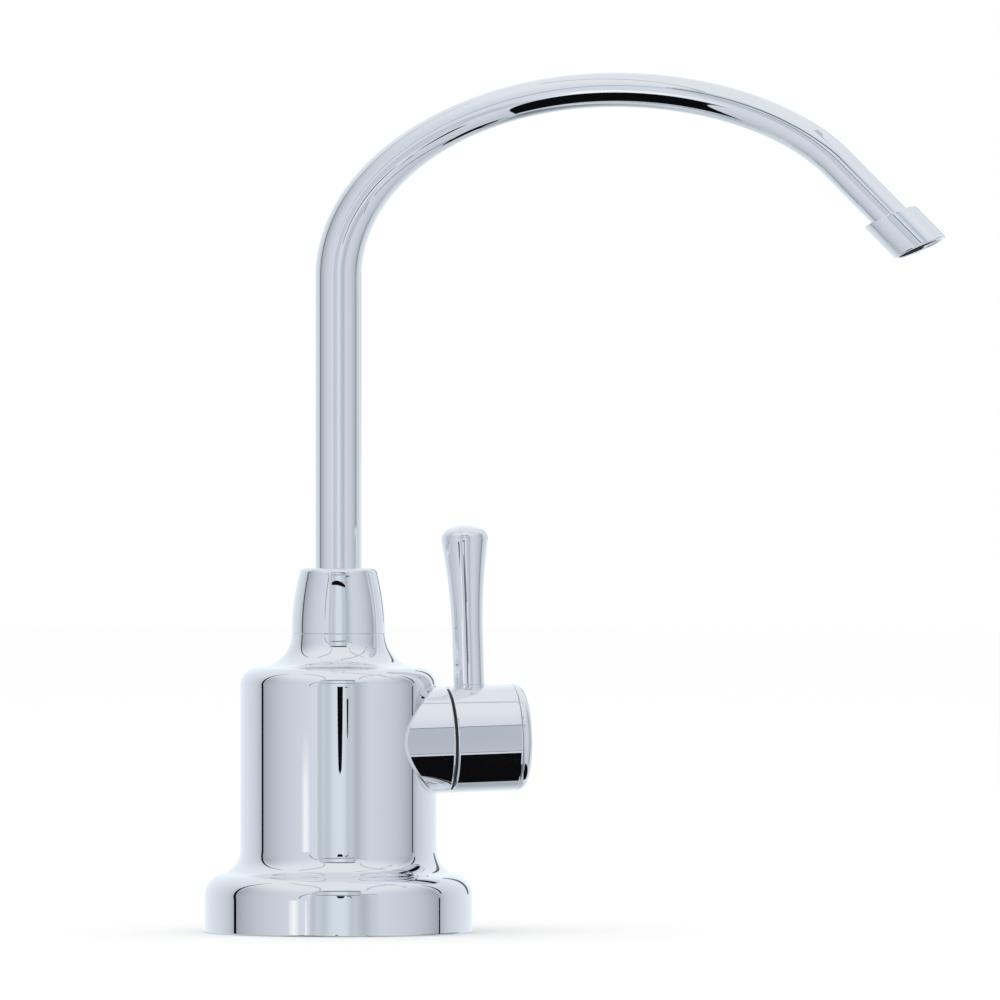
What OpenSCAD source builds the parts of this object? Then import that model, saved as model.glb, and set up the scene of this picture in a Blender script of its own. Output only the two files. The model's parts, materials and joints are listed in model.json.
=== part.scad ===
// Drinking water tap for a filter: a bell body, a quarter-turn side lever and a swivelling swan-neck spout.
// Millimetres. Z is the axis of the body and z = 0 is the worktop. The spout reaches along +X.

/* [Base and body] */
// Radius of the base flange
base_r = 32; // [30:0.5:35]
// Height of the straight side of the flange
base_side_h = 8.5; // [7:0.5:11]
// Rounding of the flange's upper edge
base_edge_r = 5.5; // [4.5:0.5:6.5]
// Hollow sweep between the flange and the body
base_sweep_r = 6; // [4.5:0.5:7.5]
// Radius of the body
body_r = 23.5; // [22.5:0.5:25]
// Height at which the straight side of the body ends
body_top_z = 58.7; // [58.5:0.1:66]
// Rounding of the shoulder
shoulder_r = 4.5; // [3.5:0.5:6]
// Hollow sweep between the shoulder and the neck
neck_sweep_r = 8; // [6:0.5:9]
// Radius of the neck at its seam
neck_r = 11.2; // [10.8:0.1:12.5]
// Thickness of the body's shell
shell_wall = 3; // [2:0.25:4]
// Width of the ring that the flange stands on
base_rim_w = 4.5; // [4:0.25:6]
// Radius of the valve block inside the shell
block_r = 16; // [15.5:0.25:17]
// Height of the valve block's underside above the worktop
block_z = 6; // [5:0.5:9]

/* [Base gasket] */
// Width of the rubber ring under the flange
gasket_w = 2.2; // [1.5:0.1:2.6]
// Depth of the rubber ring in its groove
gasket_h = 1.6; // [1:0.1:2.5]

/* [Inlet and fixing] */
// Radius of the inlet's female thread, drawn plain
inlet_r = 4.6; // [4:0.1:4.8]
// Depth of the inlet's female thread
inlet_depth = 10; // [8:0.5:11]
// Radius of the inlet fitting where it screws into the block
inlet_body_r = 5.6; // [5.4:0.1:6.2]
// Length of the inlet fitting inside the block
inlet_body_len = 12; // [9:0.5:16]
// Corner radius of the inlet fitting's hexagon
inlet_hex_r = 7; // [6.6:0.1:7.6]
// Height of the inlet fitting's hexagon
inlet_hex_h = 3; // [2:0.25:4]
// Radius of the water passages
water_r = 3; // [2.4:0.1:3.4]
// Radius of the fixing stud's thread, drawn plain
stud_r = 4.05; // [3:0.05:4.3]
// Extra radius of the blind hole beyond the insert
stud_relief = 0.5; // [0.2:0.1:0.8]
// Radius of the steel insert for the stud
insert_r = 5.3; // [4.9:0.1:5.8]
// Length of the steel insert
insert_len = 14; // [10:0.5:18]
// Place of the insert behind the body's axis
insert_back = 8.2; // [7.5:0.1:8.8]

/* [Spout] */
// Radius of the upright part of the tube
upright_r = 5.55; // [5.2:0.05:5.8]
// Radius of the tube from the top of the arch to its end
spout_end_r = 4.15; // [4:0.05:4.7]
// Wall of the tube
tube_wall = 0.9; // [0.6:0.05:1.2]
// Height at which the tube starts to bend
bend_z = 156.5; // [130:0.5:200]
// Reach from the upright to the top of the arch
arch_reach = 67.1; // [55:0.5:80]
// Rise from the start of the bend to the top of the arch
arch_rise = 44; // [38:0.1:60]
// Half width of the ellipse that the far side of the arch follows
far_reach = 62.8; // [55:0.5:75]
// Half height of that ellipse
far_drop = 34.9; // [30:0.1:45]
// Angle of the spout's end below the level
outlet_angle = 45; // [35:0.1:60]
// Length of the straight end, to the middle of the mouth
straight_len = 28.4; // [24:0.1:40]

/* [Spout tip] */
// Radius of the tip ring
tip_r = 6.1; // [5.9:0.05:6.8]
// Length of the tip ring
tip_len = 10.6; // [9.5:0.1:14]
// Slant of the ring's ends, which turns the mouth further down
tip_slant = 21.5; // [0:0.1:24]
// Wall of the ring round the mouth
tip_lip = 0.9; // [0.6:0.05:1.2]
// Depth of the flow straightener inside the mouth, past the slant
mouth_recess = 0.9; // [0.5:0.1:1.5]
// Length of the flow straightener
straightener_len = 2.6; // [2:0.1:3]
// Radius of the holes in the flow straightener
straightener_hole_r = 0.7; // [0.5:0.05:0.8]
// Distance between the rows of holes
straightener_pitch = 1.8; // [1.6:0.05:2]
// Thickness of the seal behind the straightener
tip_seal_t = 0.8; // [0.5:0.1:1]

/* [Spout swivel] */
// Height of the collar that holds the spout down
collar_h = 15.7; // [15:0.1:18]
// Radius of the collar below its top edge
collar_top_r = 9.4; // [9.1:0.1:10]
// Rounding of the collar's top edge
collar_edge_r = 1.5; // [1:0.1:2]
// Radius of the threaded spigot that the collar screws on to
spigot_r = 8.7; // [8.5:0.05:9]
// Height of the threaded spigot
spigot_h = 6.4; // [5.5:0.1:7]
// Radius of the socket that the spout's tail turns in
socket_r = 7; // [6.8:0.05:7.2]
// Depth of the tail below the neck's seam
tail_depth = 8; // [7.5:0.1:9]
// Depth of the tube in the tail, from the top of its flange
tail_seat = 7.4; // [5:0.1:8]
// Bore of the tail below the tube
tail_bore_r = 3.4; // [3:0.1:3.6]
// Thickness of the tail's flange
tail_flange_t = 2; // [1.5:0.1:2.5]
// Thickness of the two swivel washers
swivel_washer_t = 0.6; // [0.4:0.05:0.8]
// Depth of the grooves for the spout's sealing rings
spout_groove = 1.6; // [1.4:0.05:1.8]
// Space between the two sealing rings
spout_ring_pitch = 4; // [3.5:0.1:4.5]
// Land left beyond the first groove of a tail or spindle
end_land = 1.4; // [1:0.1:1.6]

/* [Valve] */
// Turn of the valve's axis from the spout at rest
valve_angle = 26; // [0:1:60]
// Rise of the valve's axis away from the body
valve_rise = 1.8; // [0:0.1:3]
// Set of the valve's axis in front of the body's axis
valve_set = 7.2; // [6.5:0.1:7.6]
// Height of the valve's axis where it passes the body's axis
valve_z = 45.1; // [44:0.1:47]
// Radius of the boss and the lever's hub
hub_r = 12.8; // [12.3:0.1:13]
// How far the end of the valve boss stands out past the body's side
boss_stand = 1.1; // [0.9:0.1:2]
// Gap between the boss and the hub
seam_gap = 0.6; // [0.5:0.05:1]
// Bevel on the edges beside the gap
seam_bevel = 0.35; // [0.2:0.05:0.5]
// Radius of the valve chamber
chamber_r = 9; // [8.8:0.05:9.3]
// Wall of the block round the valve chamber
chamber_wall = 2; // [1.5:0.1:2.5]
// Distance of the valve seat from the body's axis
seat_u = 1; // [0.6:0.1:1.2]

/* [Cartridge] */
// Radius of the two ceramic discs
disc_r = 7; // [6.6:0.1:7.2]
// Thickness of each ceramic disc
disc_t = 2.4; // [2:0.1:2.8]
// Thickness of the seal on the valve seat
seat_seal_t = 2; // [1.5:0.1:2.5]
// Wall of the cartridge round the discs
cartridge_wall = 0.9; // [0.6:0.05:1.1]
// Length of the cartridge's screw thread
thread_len = 8; // [6:0.1:9]
// Corner radius of the cartridge's hexagon
hex_r = 10; // [9.6:0.05:10.2]
// Height of the cartridge's hexagon
hex_h = 2.2; // [1.8:0.1:2.4]
// Radius of the spindle
spindle_r = 4; // [3.6:0.05:4.2]
// Thickness of the spindle's foot
foot_t = 2; // [1.5:0.1:2.4]
// Width of the tang that drives the moving disc
tang_w = 3; // [2.5:0.1:3.4]
// Depth of the tang in the moving disc
tang_depth = 1.1; // [0.8:0.1:1.3]
// Depth of the grooves for the spindle's sealing rings
spindle_groove = 1.1; // [0.9:0.05:1.2]
// Space between the spindle's two sealing rings
spindle_ring_pitch = 3.2; // [2.6:0.1:4]
// Width of the groove for the cartridge's own sealing ring
cartridge_ring_w = 1.5; // [1.3:0.1:2]
// Thickness of the spindle's retaining clip
clip_t = 0.8; // [0.6:0.05:1]
// Depth of the clip's groove
clip_groove = 0.6; // [0.4:0.05:0.8]
// Height of the clip above the spindle
clip_stand = 1.6; // [1:0.1:2]
// Radius of the ports through the discs
port_r = 1.9; // [1.5:0.1:2]
// Distance of the ports from the discs' centre
port_out = 4.2; // [4:0.05:4.4]

/* [Lever] */
// Length of the hub
hub_len = 15.8; // [15.5:0.1:18]
// Length of the end cap
cap_len = 3; // [2.9:0.1:4]
// Rounding of the cap's edge
cap_edge_r = 2.1; // [1.5:0.1:2.3]
// Height of the cap's crown
cap_crown = 0.5; // [0.2:0.05:0.8]
// Radius of the cap's spigot
cap_spigot_r = 5.5; // [5:0.05:6]
// Length of the cap's spigot
cap_spigot_len = 1; // [0.6:0.1:1.4]
// Distance of the lever from the hub's inner end
lever_u = 5.6; // [5.4:0.1:7]
// Radius of the lever where it leaves the hub
lever_r = 3.7; // [3.5:0.05:4]
// Radius of the lever at its wide end
lever_top_r = 5.6; // [5:0.1:6.5]
// Height of the lever's top above the valve's axis
lever_len = 51.1; // [45:0.1:65]
// Height above the valve's axis where the lever starts to widen
lever_flare_z = 24; // [20:0.5:30]
// Rounding of the lever's top edge
lever_edge_r = 2.8; // [2:0.1:3.2]
// Height of the crown on the lever's top
lever_crown = 0.7; // [0.3:0.1:1]
// Height of the lever's flat seat above the hub
lever_seat_h = 0.15; // [0.1:0.05:0.4]
// Radius of the lever's screwed stud
lever_stud_r = 2.5; // [2.2:0.05:2.7]
// Length of the lever's screwed stud inside the hub
lever_stud_len = 6; // [4:0.1:6.5]
// Radius of the handle screw
screw_r = 2; // [1.5:0.05:2.2]
// Radius of the handle screw's head
screw_head_r = 3.6; // [3:0.05:4]
// Height of the handle screw's head
screw_head_h = 1.9; // [1.6:0.05:2]
// Thickness of the hub's web under the screw's head
web_t = 1.6; // [1.2:0.1:2.2]
// Length of the handle screw in the spindle
screw_grip = 7; // [5:0.1:9]

/* [Fits] */
// Radial clearance of parts that turn in each other
running_fit = 0.05; // [0.03:0.01:0.1]
// Clearance of parts that are screwed or pushed together
snug_fit = 0.03; // [0.02:0.01:0.06]
// Radial gap between the spout tube and the collar
collar_gap = 0.35; // [0.3:0.01:0.5]

/* [Hidden] */

chrome = [0.86, 0.87, 0.89];
brass = [0.78, 0.62, 0.32];
steel = [0.62, 0.63, 0.65];
rubber = [0.08, 0.08, 0.09];
white_plastic = [0.93, 0.93, 0.91];
black_plastic = [0.1, 0.1, 0.11];
ceramic = [0.95, 0.94, 0.9];

$fn = 96;
arc_steps = 12;
cut = 1;

// Body outline: two S-curves, each made of a convex and a hollow arc that meet on one tangent.
base_arc_x = base_r - base_edge_r;
base_sweep_x = body_r + base_sweep_r;
base_sweep_z = base_side_h + sqrt(pow(base_edge_r + base_sweep_r, 2) - pow(base_sweep_x - base_arc_x, 2));
base_turn = acos((base_sweep_x - base_arc_x) / (base_edge_r + base_sweep_r));
shoulder_x = body_r - shoulder_r;
neck_sweep_x = neck_r + neck_sweep_r;
neck_z = body_top_z + sqrt(pow(shoulder_r + neck_sweep_r, 2) - pow(neck_sweep_x - shoulder_x, 2));
neck_turn = acos((neck_sweep_x - shoulder_x) / (shoulder_r + neck_sweep_r));
spigot_z = neck_z + spigot_h;
inside_r = body_r - shell_wall;
roof_z = body_top_z - shell_wall;

// Swivel stack, from the spigot up to the shoulder inside the collar.
lower_washer_z = spigot_z;
flange_z = lower_washer_z + swivel_washer_t + running_fit;
upper_washer_z = flange_z + tail_flange_t + running_fit;
collar_shoulder_z = upper_washer_z + swivel_washer_t;
collar_z = neck_z + collar_h;
tail_z = neck_z - tail_depth;
tube_z = flange_z + tail_flange_t - tail_seat;
tail_r = socket_r - running_fit;
spout_groove_h = spout_groove + 2 * running_fit;
spout_ring_z = tail_z + end_land + spout_groove_h / 2;
flange_r = spigot_r - running_fit;

// Spout path in the XZ plane: an upright, two elliptical arcs and a straight end.
apex_z = bend_z + arch_rise;
far_turn = atan(tan(outlet_angle) * far_reach / far_drop);
end_x = arch_reach + far_reach * sin(far_turn);
end_z = apex_z - far_drop * (1 - cos(far_turn));
bend_rings = 22;
far_rings = 14;
tube_sides = 32;

// Places along the spout's straight end.
ring_start_w = straight_len - tip_len;
slant_reach = tip_r * tan(tip_slant);
mouth_bore_r = tip_r - tip_lip;
straightener_end_w = straight_len - mouth_bore_r * tan(tip_slant) - mouth_recess;
straightener_w = straightener_end_w - straightener_len;
tip_seal_w = straightener_w - tip_seal_t;
tube_end_w = tip_seal_w;

// Places along the valve's axis, from the body's axis outwards.
boss_u = body_r + boss_stand;
inlet_u = seat_u - shell_wall - water_r;
seat_bore_r = water_r - 6 * running_fit;
disc_u = seat_u + seat_seal_t;
moving_disc_u = disc_u + disc_t + running_fit;
foot_u = moving_disc_u + disc_t;
neck_u = foot_u + foot_t + running_fit;
thread_u = boss_u - thread_len;
cartridge_bore_r = disc_r + running_fit;
cartridge_r = cartridge_bore_r + cartridge_wall;
thread_r = chamber_r - snug_fit;
hex_end_u = boss_u + hex_h;
hub_u = boss_u + seam_gap;
hub_end_u = hub_u + hub_len;
cap_u = hub_end_u + snug_fit;
clip_r = spindle_r + clip_stand;
clip_u = hex_end_u + running_fit;
hub_floor_u = clip_u + clip_t + clip_groove;
head_seat_u = hub_end_u - cap_spigot_len - screw_head_h - running_fit;
spindle_end_u = head_seat_u - web_t;
spindle_bore_r = spindle_r + running_fit;
washer_in_r = hex_r + 2 * running_fit;
washer_out_r = hub_r - 2 * seam_bevel;
hub_hollow_r = hex_r + 4 * running_fit;
lever_seat_z = sqrt(pow(hub_r, 2) - pow(lever_r, 2)) - lever_seat_h;
lever_foot_z = hub_r + lever_seat_h + snug_fit;
spindle_ring_u = [for (i = [0, 1]) neck_u + end_land + spindle_groove / 2 + i * spindle_ring_pitch];
cartridge_ring_u = foot_u + foot_t + cartridge_ring_w;

// Points of an arc round [x, z] from one angle to another.
function arc(x, z, r, from, to) = [
    for (i = [0 : arc_steps])
        let (a = from + (to - from) * i / arc_steps)
        [x + r * cos(a), z + r * sin(a)]
];

// Radius of an arc that starts upright and moves sideways by a drop over a height.
function sagged_r(drop, height) = (height * height + drop * drop) / (2 * drop);

// Tube's centreline as [x, z, turn, radius], with turn the angle of travel above the level.
function upright_point() = [[0, tube_z, 90, upright_r]];
function bend_points() = [
    for (i = [0 : bend_rings])
        let (t = 90 * i / bend_rings)
        [
            arch_reach * (1 - cos(t)),
            bend_z + arch_rise * sin(t),
            atan2(arch_rise * cos(t), arch_reach * sin(t)),
            spout_end_r + (upright_r - spout_end_r) * pow(cos(t), 4)
        ]
];
function far_points() = [
    for (i = [1 : far_rings])
        let (t = far_turn * i / far_rings)
        [
            arch_reach + far_reach * sin(t),
            apex_z - far_drop * (1 - cos(t)),
            -atan2(far_drop * sin(t), far_reach * cos(t)),
            spout_end_r
        ]
];
function end_point() = [[
    end_x + tube_end_w * cos(outlet_angle),
    end_z - tube_end_w * sin(outlet_angle),
    -outlet_angle,
    spout_end_r
]];

// One ring of points round the centreline, square to its direction of travel.
function ring(p, inset) = [
    for (k = [0 : tube_sides - 1])
        let (a = 360 * k / tube_sides, r = p[3] - inset)
        [p[0] - r * cos(a) * sin(p[2]), r * sin(a), p[1] + r * cos(a) * cos(p[2])]
];

// Two triangles between neighbouring points of two rings that start at a and b.
function band(a, b, k) =
    let (n = (k + 1) % tube_sides)
    [[a + k, a + n, b + n], [a + k, b + n, b + k]];

// A solid of revolution about Z.
module turned(points) {
    rotate_extrude() polygon(points);
}

// A plain ring about Z.
module tube_ring(inner, outer, from, to) {
    turned([[inner, from], [outer, from], [outer, to], [inner, to]]);
}

// A sealing ring of round section that fills a groove of the given depth under a running wall.
module o_ring(wall_r, groove, at) {
    section_r = (groove - 2 * running_fit) / 2;
    translate([0, 0, at])
        rotate_extrude()
            translate([wall_r - running_fit - section_r, 0])
                circle(r = section_r, $fn = 48);
}

// Places a part that is drawn with the valve's axis along X.
module beside_hub(u) {
    beside_valve(0) rotate([0, -valve_rise, 0]) translate([u, 0, 0]) children();
}

// Turns and moves a part that is drawn along Z on to the valve's axis.
module on_valve_axis() {
    beside_hub(0) rotate([0, 90, 0]) children();
}

// Places an upright part in the upright plane that holds the valve's axis.
module beside_valve(u) {
    rotate([0, 0, valve_angle])
        translate([u, -valve_set, valve_z])
            children();
}

// Turns and moves a part that is drawn along Z on to the spout's straight end.
module on_spout_end() {
    translate([end_x, 0, end_z])
        rotate([0, 90 + outlet_angle, 0])
            children();
}

function body_outline() = concat(
    [[0, 0], [base_r, 0]],
    arc(base_arc_x, base_side_h, base_edge_r, 0, base_turn),
    arc(base_sweep_x, base_sweep_z, base_sweep_r, 180 + base_turn, 180),
    arc(shoulder_x, body_top_z, shoulder_r, 0, neck_turn),
    arc(neck_sweep_x, neck_z, neck_sweep_r, 180 + neck_turn, 180),
    [[0, neck_z]]
);

function hollow_outline() =
    let (rim = base_r - base_rim_w, bore = spigot_r + snug_fit)
    [
        [0, -cut], [rim, -cut], [rim, block_z], [inside_r, base_side_h],
        [inside_r, roof_z], [bore, roof_z], [bore, neck_z + cut], [0, neck_z + cut]
    ];

function block_outline() = [
    [0, block_z], [block_r, block_z], [block_r, roof_z],
    [spigot_r, roof_z], [spigot_r, spigot_z], [0, spigot_z]
];

module boss() {
    on_valve_axis()
        turned([
            [0, 0], [hub_r, 0], [hub_r, boss_u - seam_bevel],
            [hub_r - seam_bevel, boss_u], [0, boss_u]
        ]);
}

module valve_chamber() {
    on_valve_axis() translate([0, 0, seat_u]) cylinder(r = chamber_r, h = boss_u - seat_u + cut);
}

// The part of the block that stands out sideways round the valve chamber.
module chamber_housing() {
    intersection() {
        on_valve_axis() cylinder(r = chamber_r + chamber_wall, h = boss_u);
        cylinder(r = inside_r - snug_fit, h = roof_z);
    }
}

module waterways() {
    valve_chamber();
    on_valve_axis() translate([0, 0, inlet_u]) cylinder(r = seat_bore_r, h = seat_u - inlet_u + cut);
    beside_valve(inlet_u)
        translate([0, 0, block_z - valve_z])
            cylinder(r = water_r, h = valve_z - block_z + water_r);
    rotate([0, 0, valve_angle])
        translate([seat_u + water_r + running_fit, -water_r, valve_z])
            cylinder(r = water_r, h = tail_z - water_r - valve_z);
    translate([0, 0, tail_z - 2 * water_r]) cylinder(r = tail_bore_r, h = 2 * water_r + cut);
    translate([0, 0, tail_z - running_fit]) cylinder(r = socket_r, h = spigot_z - tail_z + cut);
}

module block_sockets() {
    beside_valve(inlet_u)
        translate([0, 0, block_z - valve_z - cut])
            cylinder(r = inlet_body_r + snug_fit, h = inlet_body_len + cut);
    rotate([0, 0, valve_angle])
        translate([0, insert_back, block_z - cut]) {
            cylinder(r = insert_r + snug_fit, h = insert_len + cut);
            cylinder(r = stud_r + stud_relief, h = insert_len + stud_r + cut);
        }
}

module gasket_groove() {
    mid = base_r - base_rim_w / 2;
    tube_ring(mid - gasket_w / 2, mid + gasket_w / 2, -cut, gasket_h);
}

module body_shell() {
    color(chrome)
        difference() {
            union() {
                turned(body_outline());
                boss();
            }
            turned(hollow_outline());
            valve_chamber();
            gasket_groove();
        }
}

module valve_block() {
    color(brass)
        difference() {
            union() {
                turned(block_outline());
                chamber_housing();
            }
            waterways();
            block_sockets();
        }
}

module base_gasket() {
    mid = base_r - base_rim_w / 2;
    half = gasket_w / 2 - snug_fit;
    color(rubber) tube_ring(mid - half, mid + half, 0, gasket_h - snug_fit);
}

module inlet_fitting() {
    color(brass)
        beside_valve(inlet_u)
            translate([0, 0, block_z - valve_z])
                difference() {
                    union() {
                        translate([0, 0, -inlet_hex_h]) cylinder(r = inlet_hex_r, h = inlet_hex_h, $fn = 6);
                        cylinder(r = inlet_body_r, h = inlet_body_len - snug_fit);
                    }
                    translate([0, 0, -inlet_hex_h - cut]) cylinder(r = inlet_r, h = inlet_depth + cut);
                    cylinder(r = water_r, h = inlet_body_len + cut);
                }
}

module fixing_insert() {
    color(steel)
        rotate([0, 0, valve_angle])
            translate([0, insert_back, block_z])
                tube_ring(stud_r, insert_r, 0, insert_len - snug_fit);
}

module spout_collar() {
    barrel_h = collar_h - collar_edge_r;
    barrel_r = sagged_r(neck_r - collar_top_r, barrel_h);
    barrel_turn = asin(barrel_h / barrel_r);
    hole_r = upright_r + collar_gap;
    color(chrome)
        turned(concat(
            [[spigot_r + snug_fit, neck_z]],
            arc(neck_r - barrel_r, neck_z, barrel_r, 0, barrel_turn),
            arc(collar_top_r - collar_edge_r, collar_z - collar_edge_r, collar_edge_r, barrel_turn, 90),
            [
                [hole_r, collar_z], [hole_r, collar_shoulder_z],
                [spigot_r + snug_fit, collar_shoulder_z]
            ]
        ));
}

module lower_swivel_washer() {
    color(white_plastic)
        tube_ring(socket_r, spigot_r - running_fit, lower_washer_z, lower_washer_z + swivel_washer_t);
}

module upper_swivel_washer() {
    color(white_plastic)
        tube_ring(
            upright_r + collar_gap, spigot_r - running_fit,
            upper_washer_z, upper_washer_z + swivel_washer_t
        );
}

module spout_tail() {
    color(brass)
        difference() {
            union() {
                translate([0, 0, tail_z]) cylinder(r = tail_r, h = flange_z - tail_z + tail_flange_t);
                translate([0, 0, flange_z]) cylinder(r = flange_r, h = tail_flange_t);
            }
            translate([0, 0, tail_z - cut]) cylinder(r = tail_bore_r, h = collar_h);
            translate([0, 0, tube_z - snug_fit]) cylinder(r = upright_r + snug_fit, h = collar_h);
            for (i = [0, 1]) {
                z = spout_ring_z + i * spout_ring_pitch;
                tube_ring(
                    socket_r - spout_groove, socket_r + cut,
                    z - spout_groove_h / 2, z + spout_groove_h / 2
                );
            }
        }
}

module spout_o_rings() {
    color(rubber)
        for (i = [0, 1])
            o_ring(socket_r, spout_groove, spout_ring_z + i * spout_ring_pitch);
}

module spout_tube() {
    path = concat(upright_point(), bend_points(), far_points(), end_point());
    count = len(path);
    inner = count * tube_sides;
    last = (count - 1) * tube_sides;
    points = concat(
        [for (p = path) each ring(p, 0)],
        [for (p = path) each ring(p, tube_wall)]
    );
    faces = concat(
        [
            for (i = [0 : count - 2], k = [0 : tube_sides - 1])
                each band(i * tube_sides, (i + 1) * tube_sides, k)
        ],
        [
            for (i = [0 : count - 2], k = [0 : tube_sides - 1])
                each band(inner + (i + 1) * tube_sides, inner + i * tube_sides, k)
        ],
        [for (k = [0 : tube_sides - 1]) each band(inner, 0, k)],
        [for (k = [0 : tube_sides - 1]) each band(last, inner + last, k)]
    );
    color(chrome) polyhedron(points = points, faces = faces, convexity = 6);
}

// A slab between the two slanted ends of the tip ring.
module tip_slab() {
    side = 6 * tip_r;
    shift = straight_len * sin(tip_slant);
    rotate([0, tip_slant, 0])
        translate([-side / 2 - shift, -side / 2, ring_start_w * cos(tip_slant)])
            cube([side, side, tip_len * cos(tip_slant)]);
}

module tip_ring() {
    color(chrome)
        on_spout_end()
            difference() {
                intersection() {
                    translate([0, 0, ring_start_w - slant_reach])
                        cylinder(r = tip_r, h = tip_len + 2 * slant_reach);
                    tip_slab();
                }
                translate([0, 0, tube_end_w]) cylinder(r = mouth_bore_r, h = straight_len);
                cylinder(r = spout_end_r + snug_fit, h = straight_len);
            }
}

module tip_seal() {
    color(rubber)
        on_spout_end()
            tube_ring(spout_end_r - tube_wall, mouth_bore_r - snug_fit, tip_seal_w, tip_seal_w + tip_seal_t);
}

module flow_straightener() {
    color(black_plastic)
        on_spout_end()
            translate([0, 0, straightener_w])
                difference() {
                    cylinder(r = mouth_bore_r - snug_fit, h = straightener_len);
                    for (n = [0 : 2], k = [0 : max(6 * n - 1, 0)])
                        rotate([0, 0, 60 * k / max(n, 1)])
                            translate([n * straightener_pitch, 0, -cut])
                                cylinder(r = straightener_hole_r, h = straightener_len + 2 * cut);
                }
}

module cartridge_body() {
    window_h = foot_t;
    color(brass)
        on_valve_axis()
            difference() {
                union() {
                    translate([0, 0, disc_u]) cylinder(r = cartridge_r, h = boss_u - disc_u);
                    translate([0, 0, thread_u]) cylinder(r = thread_r, h = thread_len);
                    translate([0, 0, cartridge_ring_u - cartridge_ring_w])
                        cylinder(r = thread_r, h = 2 * cartridge_ring_w);
                    translate([0, 0, boss_u]) cylinder(r = hex_r, h = hex_h, $fn = 6);
                }
                translate([0, 0, disc_u - cut]) cylinder(r = cartridge_bore_r, h = neck_u - disc_u + cut);
                cylinder(r = spindle_bore_r, h = hex_end_u + cut);
                tube_ring(
                    chamber_r - spindle_groove, chamber_r + cut,
                    cartridge_ring_u - cartridge_ring_w / 2, cartridge_ring_u + cartridge_ring_w / 2
                );
                translate([-chamber_r, -port_r, foot_u]) cube([2 * chamber_r, 2 * port_r, window_h]);
            }
}

module cartridge_o_ring() {
    color(rubber) on_valve_axis() o_ring(chamber_r, spindle_groove, cartridge_ring_u);
}

module seat_seal() {
    color(rubber) on_valve_axis() tube_ring(port_out + port_r, disc_r, seat_u, disc_u);
}

// The pair of ports through a disc.
module ports(turn) {
    for (side = [0, 180])
        rotate([0, 0, turn + side])
            translate([port_out, 0, -cut])
                cylinder(r = port_r, h = disc_t + 2 * cut);
}

module fixed_disc() {
    color(ceramic)
        on_valve_axis()
            translate([0, 0, disc_u])
                difference() {
                    cylinder(r = disc_r, h = disc_t);
                    ports(0);
                }
}

module tang(grow) {
    width = tang_w + 2 * grow;
    reach = 2 * disc_r;
    translate([-width / 2, -reach / 2, -tang_depth - grow]) cube([width, reach, tang_depth + grow + cut]);
}

module moving_disc() {
    color(ceramic)
        on_valve_axis()
            translate([0, 0, moving_disc_u])
                difference() {
                    cylinder(r = disc_r, h = disc_t);
                    ports(90);
                    translate([0, 0, disc_t]) tang(snug_fit);
                }
}

module spindle() {
    foot_r = disc_r - 2 * running_fit;
    color(brass)
        on_valve_axis()
            difference() {
                union() {
                    translate([0, 0, foot_u]) cylinder(r = foot_r, h = foot_t);
                    translate([0, 0, foot_u]) cylinder(r = spindle_r, h = spindle_end_u - foot_u);
                    intersection() {
                        translate([0, 0, foot_u]) tang(0);
                        translate([0, 0, foot_u - disc_t]) cylinder(r = foot_r, h = 2 * disc_t);
                    }
                }
                for (u = spindle_ring_u)
                    tube_ring(
                        spindle_bore_r - spindle_groove, spindle_r + cut,
                        u - spindle_groove / 2, u + spindle_groove / 2
                    );
                tube_ring(
                    spindle_r - clip_groove, spindle_r + cut,
                    clip_u, clip_u + clip_t + 2 * snug_fit
                );
                translate([0, 0, spindle_end_u - screw_grip - cut])
                    cylinder(r = screw_r + snug_fit, h = screw_grip + 2 * cut);
            }
}

module spindle_o_rings() {
    color(rubber)
        on_valve_axis()
            for (u = spindle_ring_u)
                o_ring(spindle_bore_r, spindle_groove, u);
}

module spindle_clip() {
    mouth = 2 * (spindle_r - clip_groove) - clip_t;
    color(steel)
        on_valve_axis()
            difference() {
                translate([0, 0, clip_u + snug_fit])
                    tube_ring(spindle_r - clip_groove + snug_fit, clip_r, 0, clip_t);
                translate([0, -mouth / 2, clip_u - cut]) cube([2 * clip_r, mouth, clip_t + 2 * cut]);
            }
}

module hub_washer() {
    color(black_plastic)
        on_valve_axis()
            tube_ring(washer_in_r, washer_out_r, boss_u, hub_u - running_fit);
}

module lever_hub() {
    color(chrome)
        difference() {
            on_valve_axis()
                difference() {
                    union() {
                        turned([
                            [0, hub_u], [hub_r - seam_bevel, hub_u], [hub_r, hub_u + seam_bevel],
                            [hub_r, hub_end_u - seam_bevel], [hub_r - seam_bevel, hub_end_u], [0, hub_end_u]
                        ]);
                        translate([0, 0, hub_u + lever_u])
                            rotate([0, -90, 0])
                                translate([0, 0, lever_seat_z])
                                    cylinder(r = lever_r, h = hub_r + lever_seat_h - lever_seat_z);
                    }
                    translate([0, 0, hub_u - cut]) cylinder(r = hub_hollow_r, h = hub_floor_u - hub_u + cut);
                    translate([0, 0, hub_u])
                        cylinder(r = spindle_r + snug_fit, h = spindle_end_u + snug_fit - hub_u);
                    translate([0, 0, hub_u]) cylinder(r = screw_r + snug_fit, h = hub_len + cut);
                    translate([0, 0, head_seat_u]) cylinder(r = cap_spigot_r + snug_fit, h = hub_len);
                }
            on_lever()
                translate([0, 0, hub_r - lever_stud_len])
                    cylinder(r = lever_stud_r + snug_fit, h = hub_r);
        }
}

// Places a part that is drawn along Z on the lever's axis, square to the valve's.
module on_lever() {
    beside_hub(hub_u + lever_u) children();
}

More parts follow.
